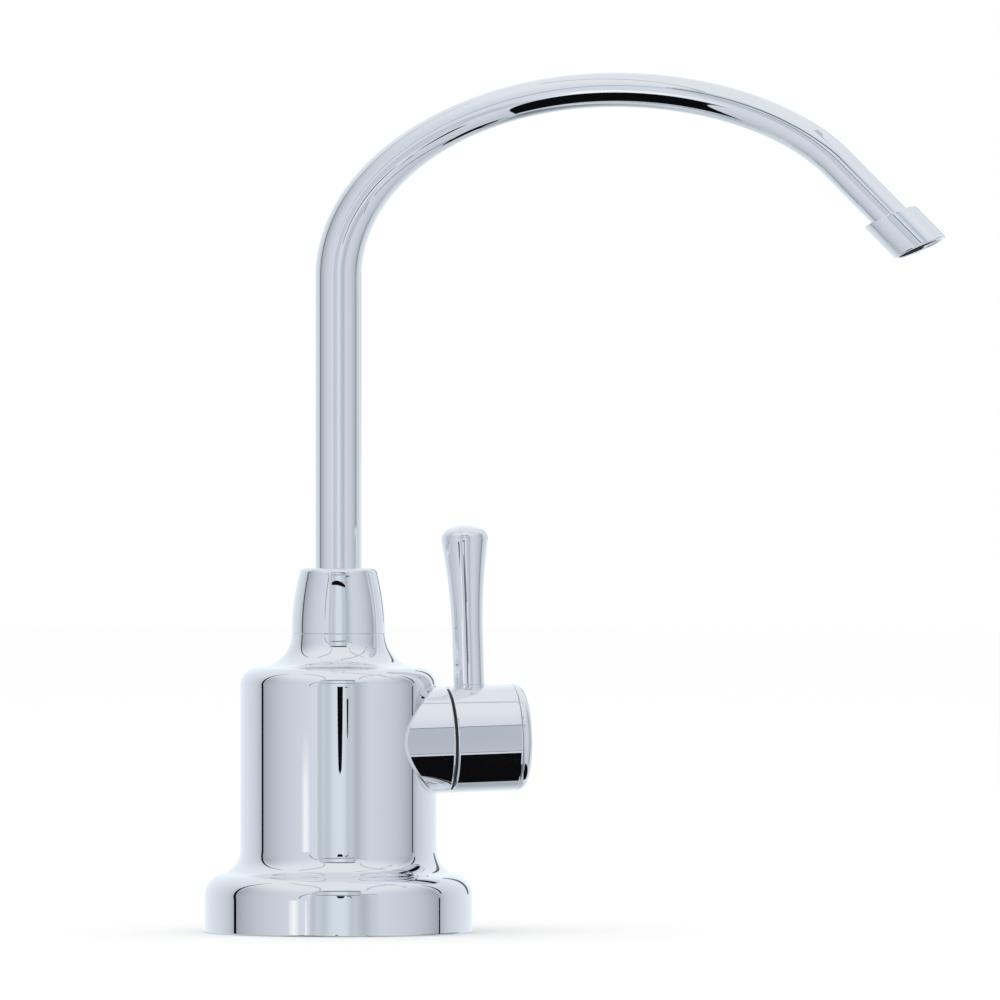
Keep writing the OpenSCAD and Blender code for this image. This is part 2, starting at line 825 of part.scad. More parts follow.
function lever_outline() =
    let (
        edge_x = lever_top_r - lever_edge_r,
        edge_z = lever_len - lever_crown - lever_edge_r,
        rise = edge_z - lever_flare_z,
        step = lever_r - edge_x,
        flare_r = (step * step + rise * rise - lever_edge_r * lever_edge_r) / (2 * (lever_edge_r - step)),
        flare_turn = asin(rise / (flare_r + lever_edge_r)),
        crown_r = lever_edge_r + sagged_r(lever_crown, edge_x),
        crown_turn = acos(edge_x / (crown_r - lever_edge_r))
    )
    concat(
        [[0, lever_foot_z], [lever_r, lever_foot_z]],
        arc(
            lever_r + flare_r, lever_flare_z, flare_r,
            180, 180 - flare_turn
        ),
        arc(edge_x, edge_z, lever_edge_r, -flare_turn, crown_turn),
        arc(0, lever_len - crown_r, crown_r, crown_turn, 90)
    );

module lever_arm() {
    color(chrome)
        on_lever() {
            turned(lever_outline());
            translate([0, 0, hub_r - lever_stud_len + snug_fit])
                cylinder(r = lever_stud_r, h = lever_stud_len + lever_r);
        }
}

module hub_cap() {
    rim_x = hub_r - cap_edge_r;
    rim_u = cap_u + cap_len - cap_crown - cap_edge_r;
    crown_r = cap_edge_r + sagged_r(cap_crown, rim_x);
    crown_turn = acos(rim_x / (crown_r - cap_edge_r));
    color(chrome)
        on_valve_axis()
            turned(concat(
                [
                    [0, hub_end_u - cap_spigot_len], [cap_spigot_r, hub_end_u - cap_spigot_len],
                    [cap_spigot_r, cap_u], [hub_r - seam_bevel, cap_u], [hub_r, cap_u + seam_bevel]
                ],
                arc(rim_x, rim_u, cap_edge_r, 0, crown_turn),
                arc(0, cap_u + cap_len - crown_r, crown_r, crown_turn, 90)
            ));
}

module handle_screw() {
    slot_w = screw_head_h / 2;
    slot_depth = screw_head_h / 2;
    color(steel)
        on_valve_axis()
            difference() {
                union() {
                    translate([0, 0, head_seat_u]) cylinder(r = screw_head_r, h = screw_head_h);
                    translate([0, 0, spindle_end_u - screw_grip])
                        cylinder(r = screw_r, h = screw_grip + web_t + slot_w);
                }
                translate([-screw_head_r - cut, -slot_w / 2, head_seat_u + screw_head_h - slot_depth])
                    cube([2 * (screw_head_r + cut), slot_w, slot_depth + cut]);
            }
}

body_shell();
base_gasket();
valve_block();
inlet_fitting();
fixing_insert();
spout_collar();
lower_swivel_washer();
upper_swivel_washer();
spout_tail();
spout_o_rings();
spout_tube();
tip_ring();
tip_seal();
flow_straightener();
cartridge_body();
cartridge_o_ring();
seat_seal();
fixed_disc();
moving_disc();
spindle();
spindle_o_rings();
spindle_clip();
hub_washer();
lever_hub();
lever_arm();
hub_cap();
handle_screw();
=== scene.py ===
"""Looks of a chrome tap for filtered water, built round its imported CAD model.

The polished outer pieces are smooth surfaces worked out with numpy from the same sizes as the solids.
The pieces inside stay as the solids they are and get their finishes here. Lengths are in metres, Z is
up along the body's axis and the spout points along +X at rest.
"""

import json
import math

import bpy
import numpy as np
from bpy.props import FloatProperty, FloatVectorProperty, IntProperty, PointerProperty
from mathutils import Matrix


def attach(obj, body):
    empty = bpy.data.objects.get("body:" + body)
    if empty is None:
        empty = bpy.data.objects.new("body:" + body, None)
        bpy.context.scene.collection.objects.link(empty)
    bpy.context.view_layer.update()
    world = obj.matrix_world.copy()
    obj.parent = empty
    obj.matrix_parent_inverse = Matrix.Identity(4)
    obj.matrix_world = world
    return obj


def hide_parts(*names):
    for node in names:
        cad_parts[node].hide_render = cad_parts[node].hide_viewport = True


bl_info = {
    "name": "Filter Tap",
    "version": (1, 0, 0),
    "blender": (4, 5, 0),
    "location": "3D View > Sidebar > Filter Tap",
    "description": "Builds the polished pieces, finishes and studio of a tap for filtered water",
    "category": "Object",
}

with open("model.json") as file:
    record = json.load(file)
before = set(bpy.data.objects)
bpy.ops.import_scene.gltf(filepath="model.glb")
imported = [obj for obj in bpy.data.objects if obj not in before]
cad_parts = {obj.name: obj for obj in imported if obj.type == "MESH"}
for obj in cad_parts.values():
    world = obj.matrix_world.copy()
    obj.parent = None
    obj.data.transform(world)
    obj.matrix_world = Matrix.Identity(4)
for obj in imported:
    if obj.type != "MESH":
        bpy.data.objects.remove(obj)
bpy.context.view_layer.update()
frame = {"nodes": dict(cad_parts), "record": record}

MM = 0.001
HALF_TURN, QUARTER_TURN = math.pi, math.pi / 2
UP = np.array((0.0, 0.0, 1.0))
RIGHT = np.array((1.0, 0.0, 0.0))
BACK = np.array((0.0, 1.0, 0.0))
WHITE = (1.0, 1.0, 1.0, 1.0)

# Frame of the body's axis as origin, forward, side and other side
BODY_AXIS = (np.zeros(3), UP, RIGHT, BACK)
# Edges that turn by more than this stay sharp
CREASE = math.radians(32.0)
# The first ring round the middle of a closed end lies at this part of the end's radius
CAP_POLE_PART, LEVER_POLE_PART = 400, 200
# Clearances of the outlet ring on the tube and of the black sleeve in the ring, whose black is partly painted
# shade
RING_FIT = 0.03 * MM
SLEEVE_FIT = 0.02 * MM
# Camera's sensor in millimetres, and the nearest and furthest distances that it sees
SENSOR_WIDTH = 36.0
CLIP_START, CLIP_END = 0.1, 40.0
# Soft lamp overhead: its place, tilt and width
LAMP_PLACE = (-0.3, -0.5, 1.9)
LAMP_TILT = (math.radians(15), math.radians(-9), 0.0)
LAMP_WIDTH = 1.4
# Floor: half its width, and how far it lies below the standing ring
FLOOR_HALF = 6.0
FLOOR_DROP = 0.1 * MM


def length(label, text, millimetres):
    """A size that a user may change, given here in millimetres and kept in metres."""
    return FloatProperty(
        name=label, description=text, default=millimetres * MM, min=0.0, precision=5,
        subtype="DISTANCE", unit="LENGTH",
    )


def angle(label, text, degrees):
    """A turn that a user may change, given here in degrees and kept in radians."""
    return FloatProperty(
        name=label, description=text, default=math.radians(degrees), subtype="ANGLE", unit="ROTATION"
    )


def colour(label, text, rgb):
    """A colour that a user may change, in linear light."""
    return FloatVectorProperty(
        name=label, description=text, default=rgb, size=3, min=0.0, max=1.0, subtype="COLOR"
    )


class BodySizes(bpy.types.PropertyGroup):
    """Sizes of the bell-shaped body and its base."""

    base_r: length("Base radius", "Radius of the round base", 32.0)
    base_side_h: length("Base side", "Height of the base's upright side", 8.5)
    base_edge_r: length("Base edge", "Radius of the base's upper edge", 5.5)
    base_sweep_r: length("Base sweep", "Radius of the hollow sweep from the base into the body", 6.0)
    base_rim_w: length("Base rim", "Width of the ring that the tap stands on", 4.5)
    foot_edge_r: length("Foot edge", "Radius of the base's lowest edge", 0.3)
    gasket_w: length("Gasket groove width", "Width of the groove for the base gasket", 2.2)
    gasket_h: length("Gasket groove depth", "Depth of the groove for the base gasket", 1.6)
    recess_z: length("Recess height", "Height of the wide recess under the base", 6.0)
    body_r: length("Body radius", "Radius of the upright body", 23.5)
    body_top_z: length("Body top", "Height at which the shoulder begins", 58.7)
    shoulder_r: length("Shoulder", "Radius of the rounded shoulder", 4.5)
    neck_sweep_r: length("Neck sweep", "Radius of the hollow sweep into the neck", 8.0)
    neck_r: length("Neck radius", "Radius of the neck under the collar", 11.2)
    neck_bore_r: length("Neck bore", "Radius of the hole through the neck", 8.73)
    shell_wall: length("Shell wall", "Wall of the body's shell", 3.0)
    seam_edge_r: length("Seam edge", "Radius of the edges beside the collar's seam", 0.22)
    boss_fillet: length("Boss fillet", "Reach of the fillet where the valve boss meets the body", 0.42)


class SpoutSizes(bpy.types.PropertyGroup):
    """Sizes of the collar, the swan-neck tube and its outlet ring."""

    collar_h: length("Collar height", "Height of the collar above the neck", 15.7)
    collar_top_r: length("Collar top radius", "Radius of the collar at its top edge", 9.4)
    collar_edge_r: length("Collar edge", "Radius of the collar's top edge", 1.5)
    collar_gap: length("Collar gap", "Clearance between the collar and the tube", 0.35)
    collar_shoulder_z: length("Collar shoulder", "Height of the shoulder inside the collar", 80.9)
    tube_z: length("Tube start", "Height of the tube's lower end inside the collar", 72.85)
    upright_r: length("Upright radius", "Radius of the tube's upright part", 5.55)
    end_r: length("End radius", "Radius of the tube from its apex to the outlet", 4.15)
    tube_wall: length("Tube wall", "Wall of the tube", 0.9)
    bend_z: length("Bend height", "Height at which the upright starts to bend", 156.5)
    arch_reach: length("Arch reach", "Distance from the upright to the apex", 67.1)
    arch_rise: length("Arch rise", "Height of the apex above the start of the bend", 44.0)
    far_reach: length("Far reach", "Reach of the ellipse beyond the apex", 62.8)
    far_drop: length("Far drop", "Drop of the ellipse beyond the apex", 34.9)
    outlet_angle: angle("Outlet angle", "Slope of the straight end below the level", 45.0)
    straight_len: length("Straight end", "Length of the straight end", 28.4)
    tip_r: length("Tip radius", "Radius of the outlet ring", 6.1)
    tip_len: length("Tip length", "Length of the outlet ring", 10.6)
    tip_slant: angle("Tip slant", "Slant of the outlet ring's two ends", 21.5)
    tip_lip: length("Tip lip", "Wall of the outlet ring at its mouth", 0.9)
    tip_edge_r: length("Tip edge", "Radius of the outlet ring's outer edges", 0.35)
    tube_end_w: length("Tube end", "Distance along the straight end at which the tube stops", 22.052)
    mouth_recess: length("Mouth recess", "Depth of the flow straightener in the mouth, past the slant", 0.9)
    # The black sleeve in the mouth is partly a lining and partly painted shade for the mouth's dark inside
    sleeve_set: length("Sleeve set", "Depth of the sleeve's end behind the lip", 0.4)
    sleeve_wall: length("Sleeve wall", "Wall of the black sleeve that lines the mouth", 0.35)


class HandleSizes(bpy.types.PropertyGroup):
    """Sizes of the valve boss, the lever's hub, its cap and the lever."""

    valve_angle: angle("Valve angle", "Turn of the valve's axis from the spout at rest", 26.0)
    valve_rise: angle("Valve rise", "Rise of the valve's axis away from the body", 1.8)
    valve_set: length("Valve set", "Set of the valve's axis in front of the body's axis", 7.2)
    valve_z: length("Valve height", "Height of the valve's axis where it passes the body's axis", 45.1)
    hub_r: length("Hub radius", "Radius of the boss and the lever's hub", 12.8)
    boss_u: length("Boss end", "Distance of the boss's end from the body's axis", 24.6)
    chamber_r: length("Boss bore", "Radius of the bore through the boss", 9.0)
    seam_gap: length("Seam gap", "Gap between the boss and the hub", 0.6)
    seam_bevel: length("Seam bevel", "Radius of the edges beside the gap", 0.35)
    hub_len: length("Hub length", "Length of the lever's hub", 15.8)
    hub_hollow_r: length("Hub hollow", "Radius of the hollow in the hub's inner end", 10.2)
    hub_floor: length("Hub floor", "Depth of the hollow in the hub's inner end", 3.05)
    spindle_r: length("Spindle hole", "Radius of the hole for the spindle", 4.03)
    spindle_end: length("Spindle end", "Depth of the spindle's end in the hub", 11.28)
    screw_r: length("Screw hole", "Radius of the hole for the handle screw", 2.03)
    head_seat: length("Head seat", "Depth of the screw head's seat in the hub", 12.85)
    cap_gap: length("Cap gap", "Gap between the hub and its cap", 0.03)
    cap_len: length("Cap length", "Length of the hub's cap", 3.0)
    cap_edge_r: length("Cap edge", "Radius of the cap's edge", 2.1)
    cap_crown: length("Cap crown", "Height of the cap's crown", 0.5)
    cap_spigot_r: length("Cap spigot", "Radius of the cap's spigot", 5.5)
    cap_spigot_len: length("Cap spigot length", "Length of the cap's spigot", 1.0)
    lever_u: length("Lever place", "Distance of the lever from the hub's inner end", 5.6)
    lever_r: length("Lever radius", "Radius of the lever's lower part", 3.7)
    lever_top_r: length("Lever top radius", "Radius of the lever at its widest", 5.6)
    lever_len: length("Lever length", "Height of the lever's top above the valve's axis", 51.1)
    lever_flare_z: length("Lever flare", "Height at which the lever starts to widen", 24.0)
    lever_edge_r: length("Lever edge", "Radius of the lever's top edge", 2.8)
    lever_crown: length("Lever crown", "Height of the crown on the lever's top", 0.7)
    lever_seat_h: length("Lever seat", "Height of the lever's flat seat above the hub", 0.15)
    lever_foot_edge: length("Lever foot edge", "Radius of the edges beside the lever's foot", 0.1)


class FinishColours(bpy.types.PropertyGroup):
    """Colours of the finishes, in linear light."""

    chrome: colour("Chrome", "Polished chrome plate", (0.88, 0.892, 0.91))
    chrome_haze: colour("Chrome haze", "Chrome plate where it is wiped dull", (0.83, 0.845, 0.87))
    brass: colour("Brass", "Turned brass", (0.72, 0.52, 0.24))
    brass_dark: colour("Brass stain", "Brass where it has dulled", (0.46, 0.31, 0.13))
    steel: colour("Steel", "Stainless steel", (0.55, 0.55, 0.56))
    rubber: colour("Rubber", "Seals and gasket", (0.018, 0.018, 0.019))
    white_plastic: colour("White plastic", "Washers of the swivel", (0.74, 0.74, 0.71))
    # Black plastic: on the mouth's sleeve it is partly painted shade for the dark inside of the mouth
    black_plastic: colour("Black plastic", "Flow straightener, sleeve and hub washer", (0.012, 0.012, 0.013))
    ceramic: colour("Ceramic", "Valve discs", (0.82, 0.80, 0.75))


class StageSettings(bpy.types.PropertyGroup):
    """Camera, floor, light and the panels that the chrome mirrors."""

    camera_turn: angle("Camera turn", "Turn of the camera round the tap", 14.0)
    camera_distance: length("Camera distance", "Distance of the camera from the aim", 2600.0)
    frame_width: length("Frame width", "Width of the picture at the aim", 239.0)
    aim_right: length("Aim right", "Aim of the camera to the right of the body's axis", 38.6)
    aim_up: length("Aim height", "Aim of the camera above the worktop", 103.1)
    room_r: length("Room radius", "Distance of the mirrored tent", 8000.0)
    card_distance: length("Card distance", "Distance of the small dark cards in front of the tap", 185.0)
    seam: colour("Tent's seams", "Tent beside its two upright seams", (0.35, 0.38, 0.42))
    left: colour("Tent's left", "Tent in front on the left", (0.775, 0.814, 0.895))
    right: colour("Tent's right", "Tent in front on the right", (0.715, 0.748, 0.825))
    behind: colour("Tent behind", "Tent behind the seams", (0.595, 0.642, 0.685))
    roof: colour("Tent's roof", "Tent overhead", (0.83, 0.86, 0.90))
    ground: colour("Tent's ground", "Tent towards the floor in front", (0.58, 0.62, 0.67))
    ground_behind: colour("Ground behind", "Tent towards the floor behind", (0.165, 0.19, 0.21))
    opening: colour("Opening", "Brightest part of the tent's opening", (0.842, 0.92, 1.0))
    fold: colour("Folds", "Faint folds over the panels", (0.55, 0.58, 0.63))
    edge: colour("Edge", "Thin edges of the opening", (0.17, 0.18, 0.19))
    bright: colour("Bright", "Bright slits", (1.0, 1.0, 1.0))
    dark: colour("Dark", "Dark cards and seams", (0.004, 0.004, 0.005))
    floor: colour("Floor", "Plain pale floor", (0.99, 0.99, 0.99))
    world_level: FloatProperty(
        name="World level", description="Brightness of the soft light all round", default=1.0, min=0.0,
        soft_max=2.0, subtype="FACTOR",
    )
    lamp_power: FloatProperty(
        name="Lamp power", description="Power of the soft lamp overhead", default=2.4, min=0.0, unit="POWER"
    )
    columns: IntProperty(name="Columns", description="Points round each turned piece", default=224, min=48)


def arc(x, z, radius, start, end, steps=8):
    """Points of a circular arc: its centre plus the radius at evenly spaced angles, in radians."""
    turn = np.linspace(start, end, steps + 1)
    return np.column_stack((x + radius * np.cos(turn), z + radius * np.sin(turn)))


def eased(steps):
    """Shares from nought to one, crowded towards both ends by a cosine so that the shading stays even."""
    return (1 - np.cos(np.linspace(0, np.pi, steps + 1))) / 2


def line(start, end, steps):
    """Points of a straight run: its two ends mixed by eased shares."""
    t = eased(steps)
    return np.outer(1 - t, start) + np.outer(t, end)


def runs(start, *corners):
    """Straight runs from a start through corners, each with the number of steps that lead to it."""
    ends = [corner[:2] for corner in corners]
    return np.vstack([line(a, b, corner[2]) for a, b, corner in zip((start, *ends), ends, corners)])


def outline(*parts):
    """The parts end to end, without the points that repeat."""
    points = np.vstack(parts)
    fresh = np.linalg.norm(np.diff(points, axis=0), axis=1) > 1e-8
    return points[np.r_[True, fresh]]


def sagged(drop, width):
    """Radius of an arc that drops by a height over half its width."""
    return (width * width + drop * drop) / (2 * drop)


def round_angles(columns):
    """Evenly spaced angles of one full turn."""
    return np.linspace(0, 2 * np.pi, columns, endpoint=False)


def swept(axis, radius, along, columns):
    """Origin plus a distance along the axis plus a radius sideways, for every row and every angle."""
    origin, forward, side, other = axis
    turn = round_angles(columns)
    spoke = np.outer(np.cos(turn), side) + np.outer(np.sin(turn), other)
    return origin + along[..., None] * forward + radius[..., None] * spoke


def turned(axis, profile, columns, loop=True):
    """Closed surface of a profile of radius and height carried round an axis."""
    radius, height = (np.repeat(profile[:, k : k + 1], columns, axis=1) for k in (0, 1))
    return closed_surface(swept(axis, radius, height, columns), loop)


def valve_axis(handle):
    """Frame of the valve's axis: out along the turned and rising axis, with the back and up as its sides."""
    c, s = math.cos(handle.valve_angle), math.sin(handle.valve_angle)
    sideways, back = np.array((c, s, 0.0)), np.array((-s, c, 0.0))
    c, s = math.cos(handle.valve_rise), math.sin(handle.valve_rise)
    origin = handle.valve_z * UP - handle.valve_set * back
    return origin, c * sideways + s * UP, back, c * UP - s * sideways


def lever_axis(handle):
    """Frame of the lever's axis, which stands square on the valve's axis."""
    origin, out, back, up = valve_axis(handle)
    return origin + (handle.boss_u + handle.seam_gap + handle.lever_u) * out, up, out, back


def far_turn(spout):
    """Angle on the far ellipse at which its slope is the outlet's."""
    return math.atan(math.tan(spout.outlet_angle) * spout.far_reach / spout.far_drop)


def outlet_axis(spout):
    """Frame of the spout's straight end: forward down its slope, with the upper side as its side."""
    turn = far_turn(spout)
    apex = spout.bend_z + spout.arch_rise
    x = spout.arch_reach + spout.far_reach * math.sin(turn)
    z = apex - spout.far_drop * (1 - math.cos(turn))
    c, s = math.cos(spout.outlet_angle), math.sin(spout.outlet_angle)
    return np.array((x, 0.0, z)), np.array((c, 0.0, -s)), np.array((s, 0.0, c)), BACK


def neck_height(body):
    """Height of the neck, where the shoulder's arc and the hollow sweep above it meet on one tangent."""
    across = body.neck_r + body.neck_sweep_r - (body.body_r - body.shoulder_r)
    return body.body_top_z + math.sqrt((body.shoulder_r + body.neck_sweep_r) ** 2 - across * across)


def quads_between(rows, columns, loop, wrap=True):
    """Corner numbers of the faces between neighbouring rows and columns of a grid."""
    i = np.arange(rows if loop else rows - 1)[:, None]
    j = np.arange(columns if wrap else columns - 1)[None, :]
    below, above = i * columns, (i + 1) % rows * columns
    beside = (j + 1) % columns
    return np.stack((below + j, below + beside, above + beside, above + j), axis=-1).reshape(-1, 4)


def closed_surface(grid, loop=True):
    """Points and faces, as fours and threes, of a grid whose rows close on themselves.

    Where loop is set the last row joins the first. Otherwise each end shuts on a pole at its row's middle.
    """
    rows, columns = grid.shape[:2]
    points, quads = grid.reshape(-1, 3), quads_between(rows, columns, loop)
    fans = np.zeros((0, 3), int)
    if not loop:
        points = np.vstack((points, grid[[0, -1]].mean(axis=1)))
        ring = np.arange(columns)
        beside = np.roll(ring, -1)
        pole = np.full(columns, rows * columns)
        top = (rows - 1) * columns
        fans = np.vstack((
            np.column_stack((pole, beside, ring)),
            np.column_stack((pole + 1, top + ring, top + beside)),
        ))
    triangles = np.vstack((quads[:, :3], quads[:, [0, 2, 3]], fans))
    a, b, c = (points[triangles[:, k]] for k in range(3))
    if np.einsum("ij,ij->", a, np.cross(b, c)) < 0:
        quads, fans = quads[:, ::-1], fans[:, ::-1]
    return points, (quads, fans)


def new_mesh(name, surfaces):
    """One mesh from several closed surfaces, smooth except along its creases."""
    starts = np.cumsum([0] + [len(points) for points, _ in surfaces])
    faces = []
    for start, (_, kinds) in zip(starts, surfaces):
        for corners in kinds:
            faces += (corners + start).tolist()
    mesh = bpy.data.meshes.new(name)
    mesh.from_pydata(np.vstack([points for points, _ in surfaces]), [], faces)
    mesh.polygons.foreach_set("use_smooth", np.ones(len(mesh.polygons), bool))
    mesh.set_sharp_from_angle(angle=CREASE)
    mesh.update()
    return mesh


def add_piece(name, surfaces, finish, slot, body, *nodes):
    """Adds a piece that rides on a body, carries a finish and may stand for CAD nodes."""
    piece = bpy.data.objects.new(name, new_mesh(name, surfaces))
    bpy.context.scene.collection.objects.link(piece)
    piece.data.materials.append(bpy.data.materials[finish])
    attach(piece, body)
    if nodes:
        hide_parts(*nodes)


def add_chrome(name, body, node, *surfaces):
    """Adds a polished piece that stands for one CAD node."""
    add_piece(name, surfaces, "polished_chrome", "chrome", body, node)


class Value:
    """A shader socket that adds a Math node for each sum it is used in."""

    def __init__(self, shader, output):
        self.shader = shader
        self.output = output

    def maths(self, operation, first, second):
        return self.shader.add("ShaderNodeMath", {"operation": operation}, {0: first, 1: second})

    def __add__(self, other):
        return self.maths("ADD", self, other)

    def __radd__(self, other):
        return self.maths("ADD", other, self)

    def __sub__(self, other):
        return self.maths("SUBTRACT", self, other)

    def __rsub__(self, other):
        return self.maths("SUBTRACT", other, self)

    def __mul__(self, other):
        return self.maths("MULTIPLY", self, other)

    def __rmul__(self, other):
        return self.maths("MULTIPLY", other, self)


class Shader:
    """A node tree with one way to add a node: its type, its settings, then its sockets."""

    def __init__(self, tree):
        self.tree = tree
        tree.nodes.clear()

    def add(self, kind, settings=None, sockets=None, output=0):
        node = self.tree.nodes.new(kind)
        for key, value in (settings or {}).items():
            if key == "stops":
                for element, (place, shade) in zip(node.color_ramp.elements, value):
                    element.position = place
                    element.color = (shade, shade, shade, 1.0)
            else:
                setattr(node, key, value)
        for key, value in (sockets or {}).items():
            if isinstance(value, Value):
                self.tree.links.new(value.output, node.inputs[key])
            else:
                node.inputs[key].default_value = value
        return Value(self, node.outputs[output]) if node.outputs else None

    def noise(self, scale, detail, roughness=0.55, stretch=(1.0, 1.0, 1.0)):
        """Cloudy values round a half at a number of waves per metre, drawn out by stretch."""
        point = self.add("ShaderNodeTexCoord", output="Object")
        place = self.add("ShaderNodeMapping", None, {"Vector": point, "Scale": stretch})
        return self.add(
            "ShaderNodeTexNoise", None,
            {"Vector": place, "Scale": scale, "Detail": detail, "Roughness": roughness},
        )

    def stepped(self, value, low, high):
        """Nought below low, one above high and a straight ramp between them."""
        return self.add("ShaderNodeValToRGB", {"stops": ((low, 0.0), (high, 1.0))}, {"Fac": value})

    def blended(self, share, first, second):
        """Two colours mixed by a share."""
        return self.add(
            "ShaderNodeMix", {"data_type": "RGBA"}, {0: share, 6: (*first, 1.0), 7: (*second, 1.0)}, output=2
        )

    def bumped(self, height, strength, depth):
        """A normal that follows small heights."""
        return self.add("ShaderNodeBump", None, {"Height": height, "Strength": strength, "Distance": depth})

    def surface(self, sockets):
        bsdf = self.add("ShaderNodeBsdfPrincipled", None, sockets)
        self.add("ShaderNodeOutputMaterial", None, {"Surface": bsdf})


def new_finish(name):
    """A new material and the shader that fills it."""
    finish = bpy.data.materials.new(name)
    finish.use_nodes = True
    return finish, Shader(finish.node_tree)


def chrome_finish(colours):
    """Mirror-bright plate with faint cloudy wipe marks and hair-fine scratches."""
    finish, shader = new_finish("polished_chrome")
    haze = shader.stepped(shader.noise(38.0, 4.0), 0.45, 0.8)
    wiped = shader.stepped(shader.noise(160.0, 5.0, 0.7, (1.0, 1.0, 0.16)), 0.52, 0.78)
    shader.surface({
        "Base Color": shader.blended(haze * 0.5, colours.chrome, colours.chrome_haze),
        "Metallic": 1.0,
        "Roughness": 0.012 + haze * 0.014 + wiped * 0.01,
        "Normal": shader.bumped(shader.noise(420.0, 2.0), 0.006, 0.00004),
    })
    return finish


def brass_finish(colours):
    """Turned brass: fine machining noise, dulled in patches."""
    finish, shader = new_finish("turned_brass")
    dull = shader.stepped(shader.noise(120.0, 5.0), 0.38, 0.72)
    cut = shader.noise(2600.0, 2.0)
    shader.surface({
        "Base Color": shader.blended(dull * 0.7, colours.brass, colours.brass_dark),
        "Metallic": 1.0,
        "Roughness": 0.24 + dull * 0.18 + cut * 0.08,
        "Normal": shader.bumped(cut, 0.12, 0.00008),
    })
    return finish


def steel_finish(colours):
    """Stainless steel with a satin grain."""
    finish, shader = new_finish("stainless_steel")
    grain = shader.noise(1800.0, 3.0, 0.6, (1.0, 1.0, 0.2))
    shader.surface({
        "Base Color": shader.blended(grain, colours.steel, [c * 0.8 for c in colours.steel]),
        "Metallic": 1.0,
        "Roughness": 0.22 + grain * 0.16,
        "Normal": shader.bumped(grain, 0.08, 0.00005),
    })
    return finish


def rubber_finish(colours):
    """Moulded seal rubber with a dusty bloom."""
    finish, shader = new_finish("seal_rubber")
    bloom = shader.stepped(shader.noise(240.0, 5.0), 0.42, 0.75)
    shader.surface({
        "Base Color": shader.blended(bloom, colours.rubber, [c * 2.2 for c in colours.rubber]),
        "Roughness": 0.52 + bloom * 0.2,
        "Normal": shader.bumped(shader.noise(3200.0, 2.0), 0.15, 0.00008),
    })
    return finish


def plastic_finish(name, base):
    """Moulded plastic with slight mottling and a fine satin texture."""
    finish, shader = new_finish(name)
    mottle = shader.noise(180.0, 4.0)
    shader.surface({
        "Base Color": shader.blended(mottle, base, [c * 0.86 for c in base]),
        "Roughness": 0.34 + mottle * 0.16,
        "Normal": shader.bumped(shader.noise(2400.0, 2.0), 0.08, 0.00006),
    })
    return finish


def ceramic_finish(colours):
    """Lapped ceramic with pale grains."""
    finish, shader = new_finish("lapped_ceramic")
    grains = shader.noise(1500.0, 4.0)
    shader.surface({
        "Base Color": shader.blended(grains, colours.ceramic, [c * 0.9 for c in colours.ceramic]),
        "Roughness": 0.1 + grains * 0.1,
        "Normal": shader.bumped(grains, 0.04, 0.00003),
    })
    return finish


def glow_finish():
    """Plain glow for the stage's panels, at the brightness that each panel's own shade says."""
    shader = new_finish("glow")[1]
    shade = shader.add("ShaderNodeAttribute", {"attribute_name": "shade"})
    glow = shader.add("ShaderNodeEmission", None, {"Color": shade, "Strength": 1.0})
    shader.add("ShaderNodeOutputMaterial", None, {"Surface": glow})


def body_profile(body):
    """Closed outline of the shell as radius and height: outside from foot to neck, then inside down again."""
    edge_x, sweep_x = body.base_r - body.base_edge_r, body.body_r + body.base_sweep_r
    reach = body.base_edge_r + body.base_sweep_r
    turn = math.acos((sweep_x - edge_x) / reach)
    sweep_z = body.base_side_h + reach * math.sin(turn)
    shoulder_x, neck_x = body.body_r - body.shoulder_r, body.neck_r + body.neck_sweep_r
    neck_z = neck_height(body)
    neck_turn = math.acos((neck_x - shoulder_x) / (body.shoulder_r + body.neck_sweep_r))
    seam, foot = body.seam_edge_r, body.foot_edge_r
    seam_turn = math.asin(seam / body.neck_sweep_r)
    inside_r, roof_z = body.body_r - body.shell_wall, body.body_top_z - body.shell_wall
    rim_r, groove_mid = body.base_r - body.base_rim_w, body.base_r - body.base_rim_w / 2
    groove_in, groove_out = groove_mid - body.gasket_w / 2, groove_mid + body.gasket_w / 2
    return outline(
        arc(body.base_r - foot, foot, foot, -QUARTER_TURN, 0),
        line((body.base_r, foot), (body.base_r, body.base_side_h), 12),
        arc(edge_x, body.base_side_h, body.base_edge_r, 0, turn, 30),
        arc(sweep_x, sweep_z, body.base_sweep_r, HALF_TURN + turn, HALF_TURN, 30),
        line((body.body_r, sweep_z), (body.body_r, body.body_top_z), 24),
        arc(shoulder_x, body.body_top_z, body.shoulder_r, 0, neck_turn, 30),
        arc(neck_x, neck_z, body.neck_sweep_r, HALF_TURN + neck_turn, HALF_TURN + seam_turn, 30),
        arc(body.neck_r - seam, neck_z - seam, seam, 0, QUARTER_TURN),
        runs(
            (body.neck_r - seam, neck_z),
            (body.neck_bore_r, neck_z, 4),
            (body.neck_bore_r, roof_z, 6),
            (inside_r, roof_z, 6),
            (inside_r, body.base_side_h, 12),
            (rim_r, body.recess_z, 6),
            (rim_r, 0.0, 4),
            (groove_in, 0.0, 2),
            (groove_in, body.gasket_h, 2),
            (groove_out, body.gasket_h, 2),
            (groove_out, 0.0, 2),
            (body.base_r - foot, 0.0, 2),
        ),
    )[:-1]


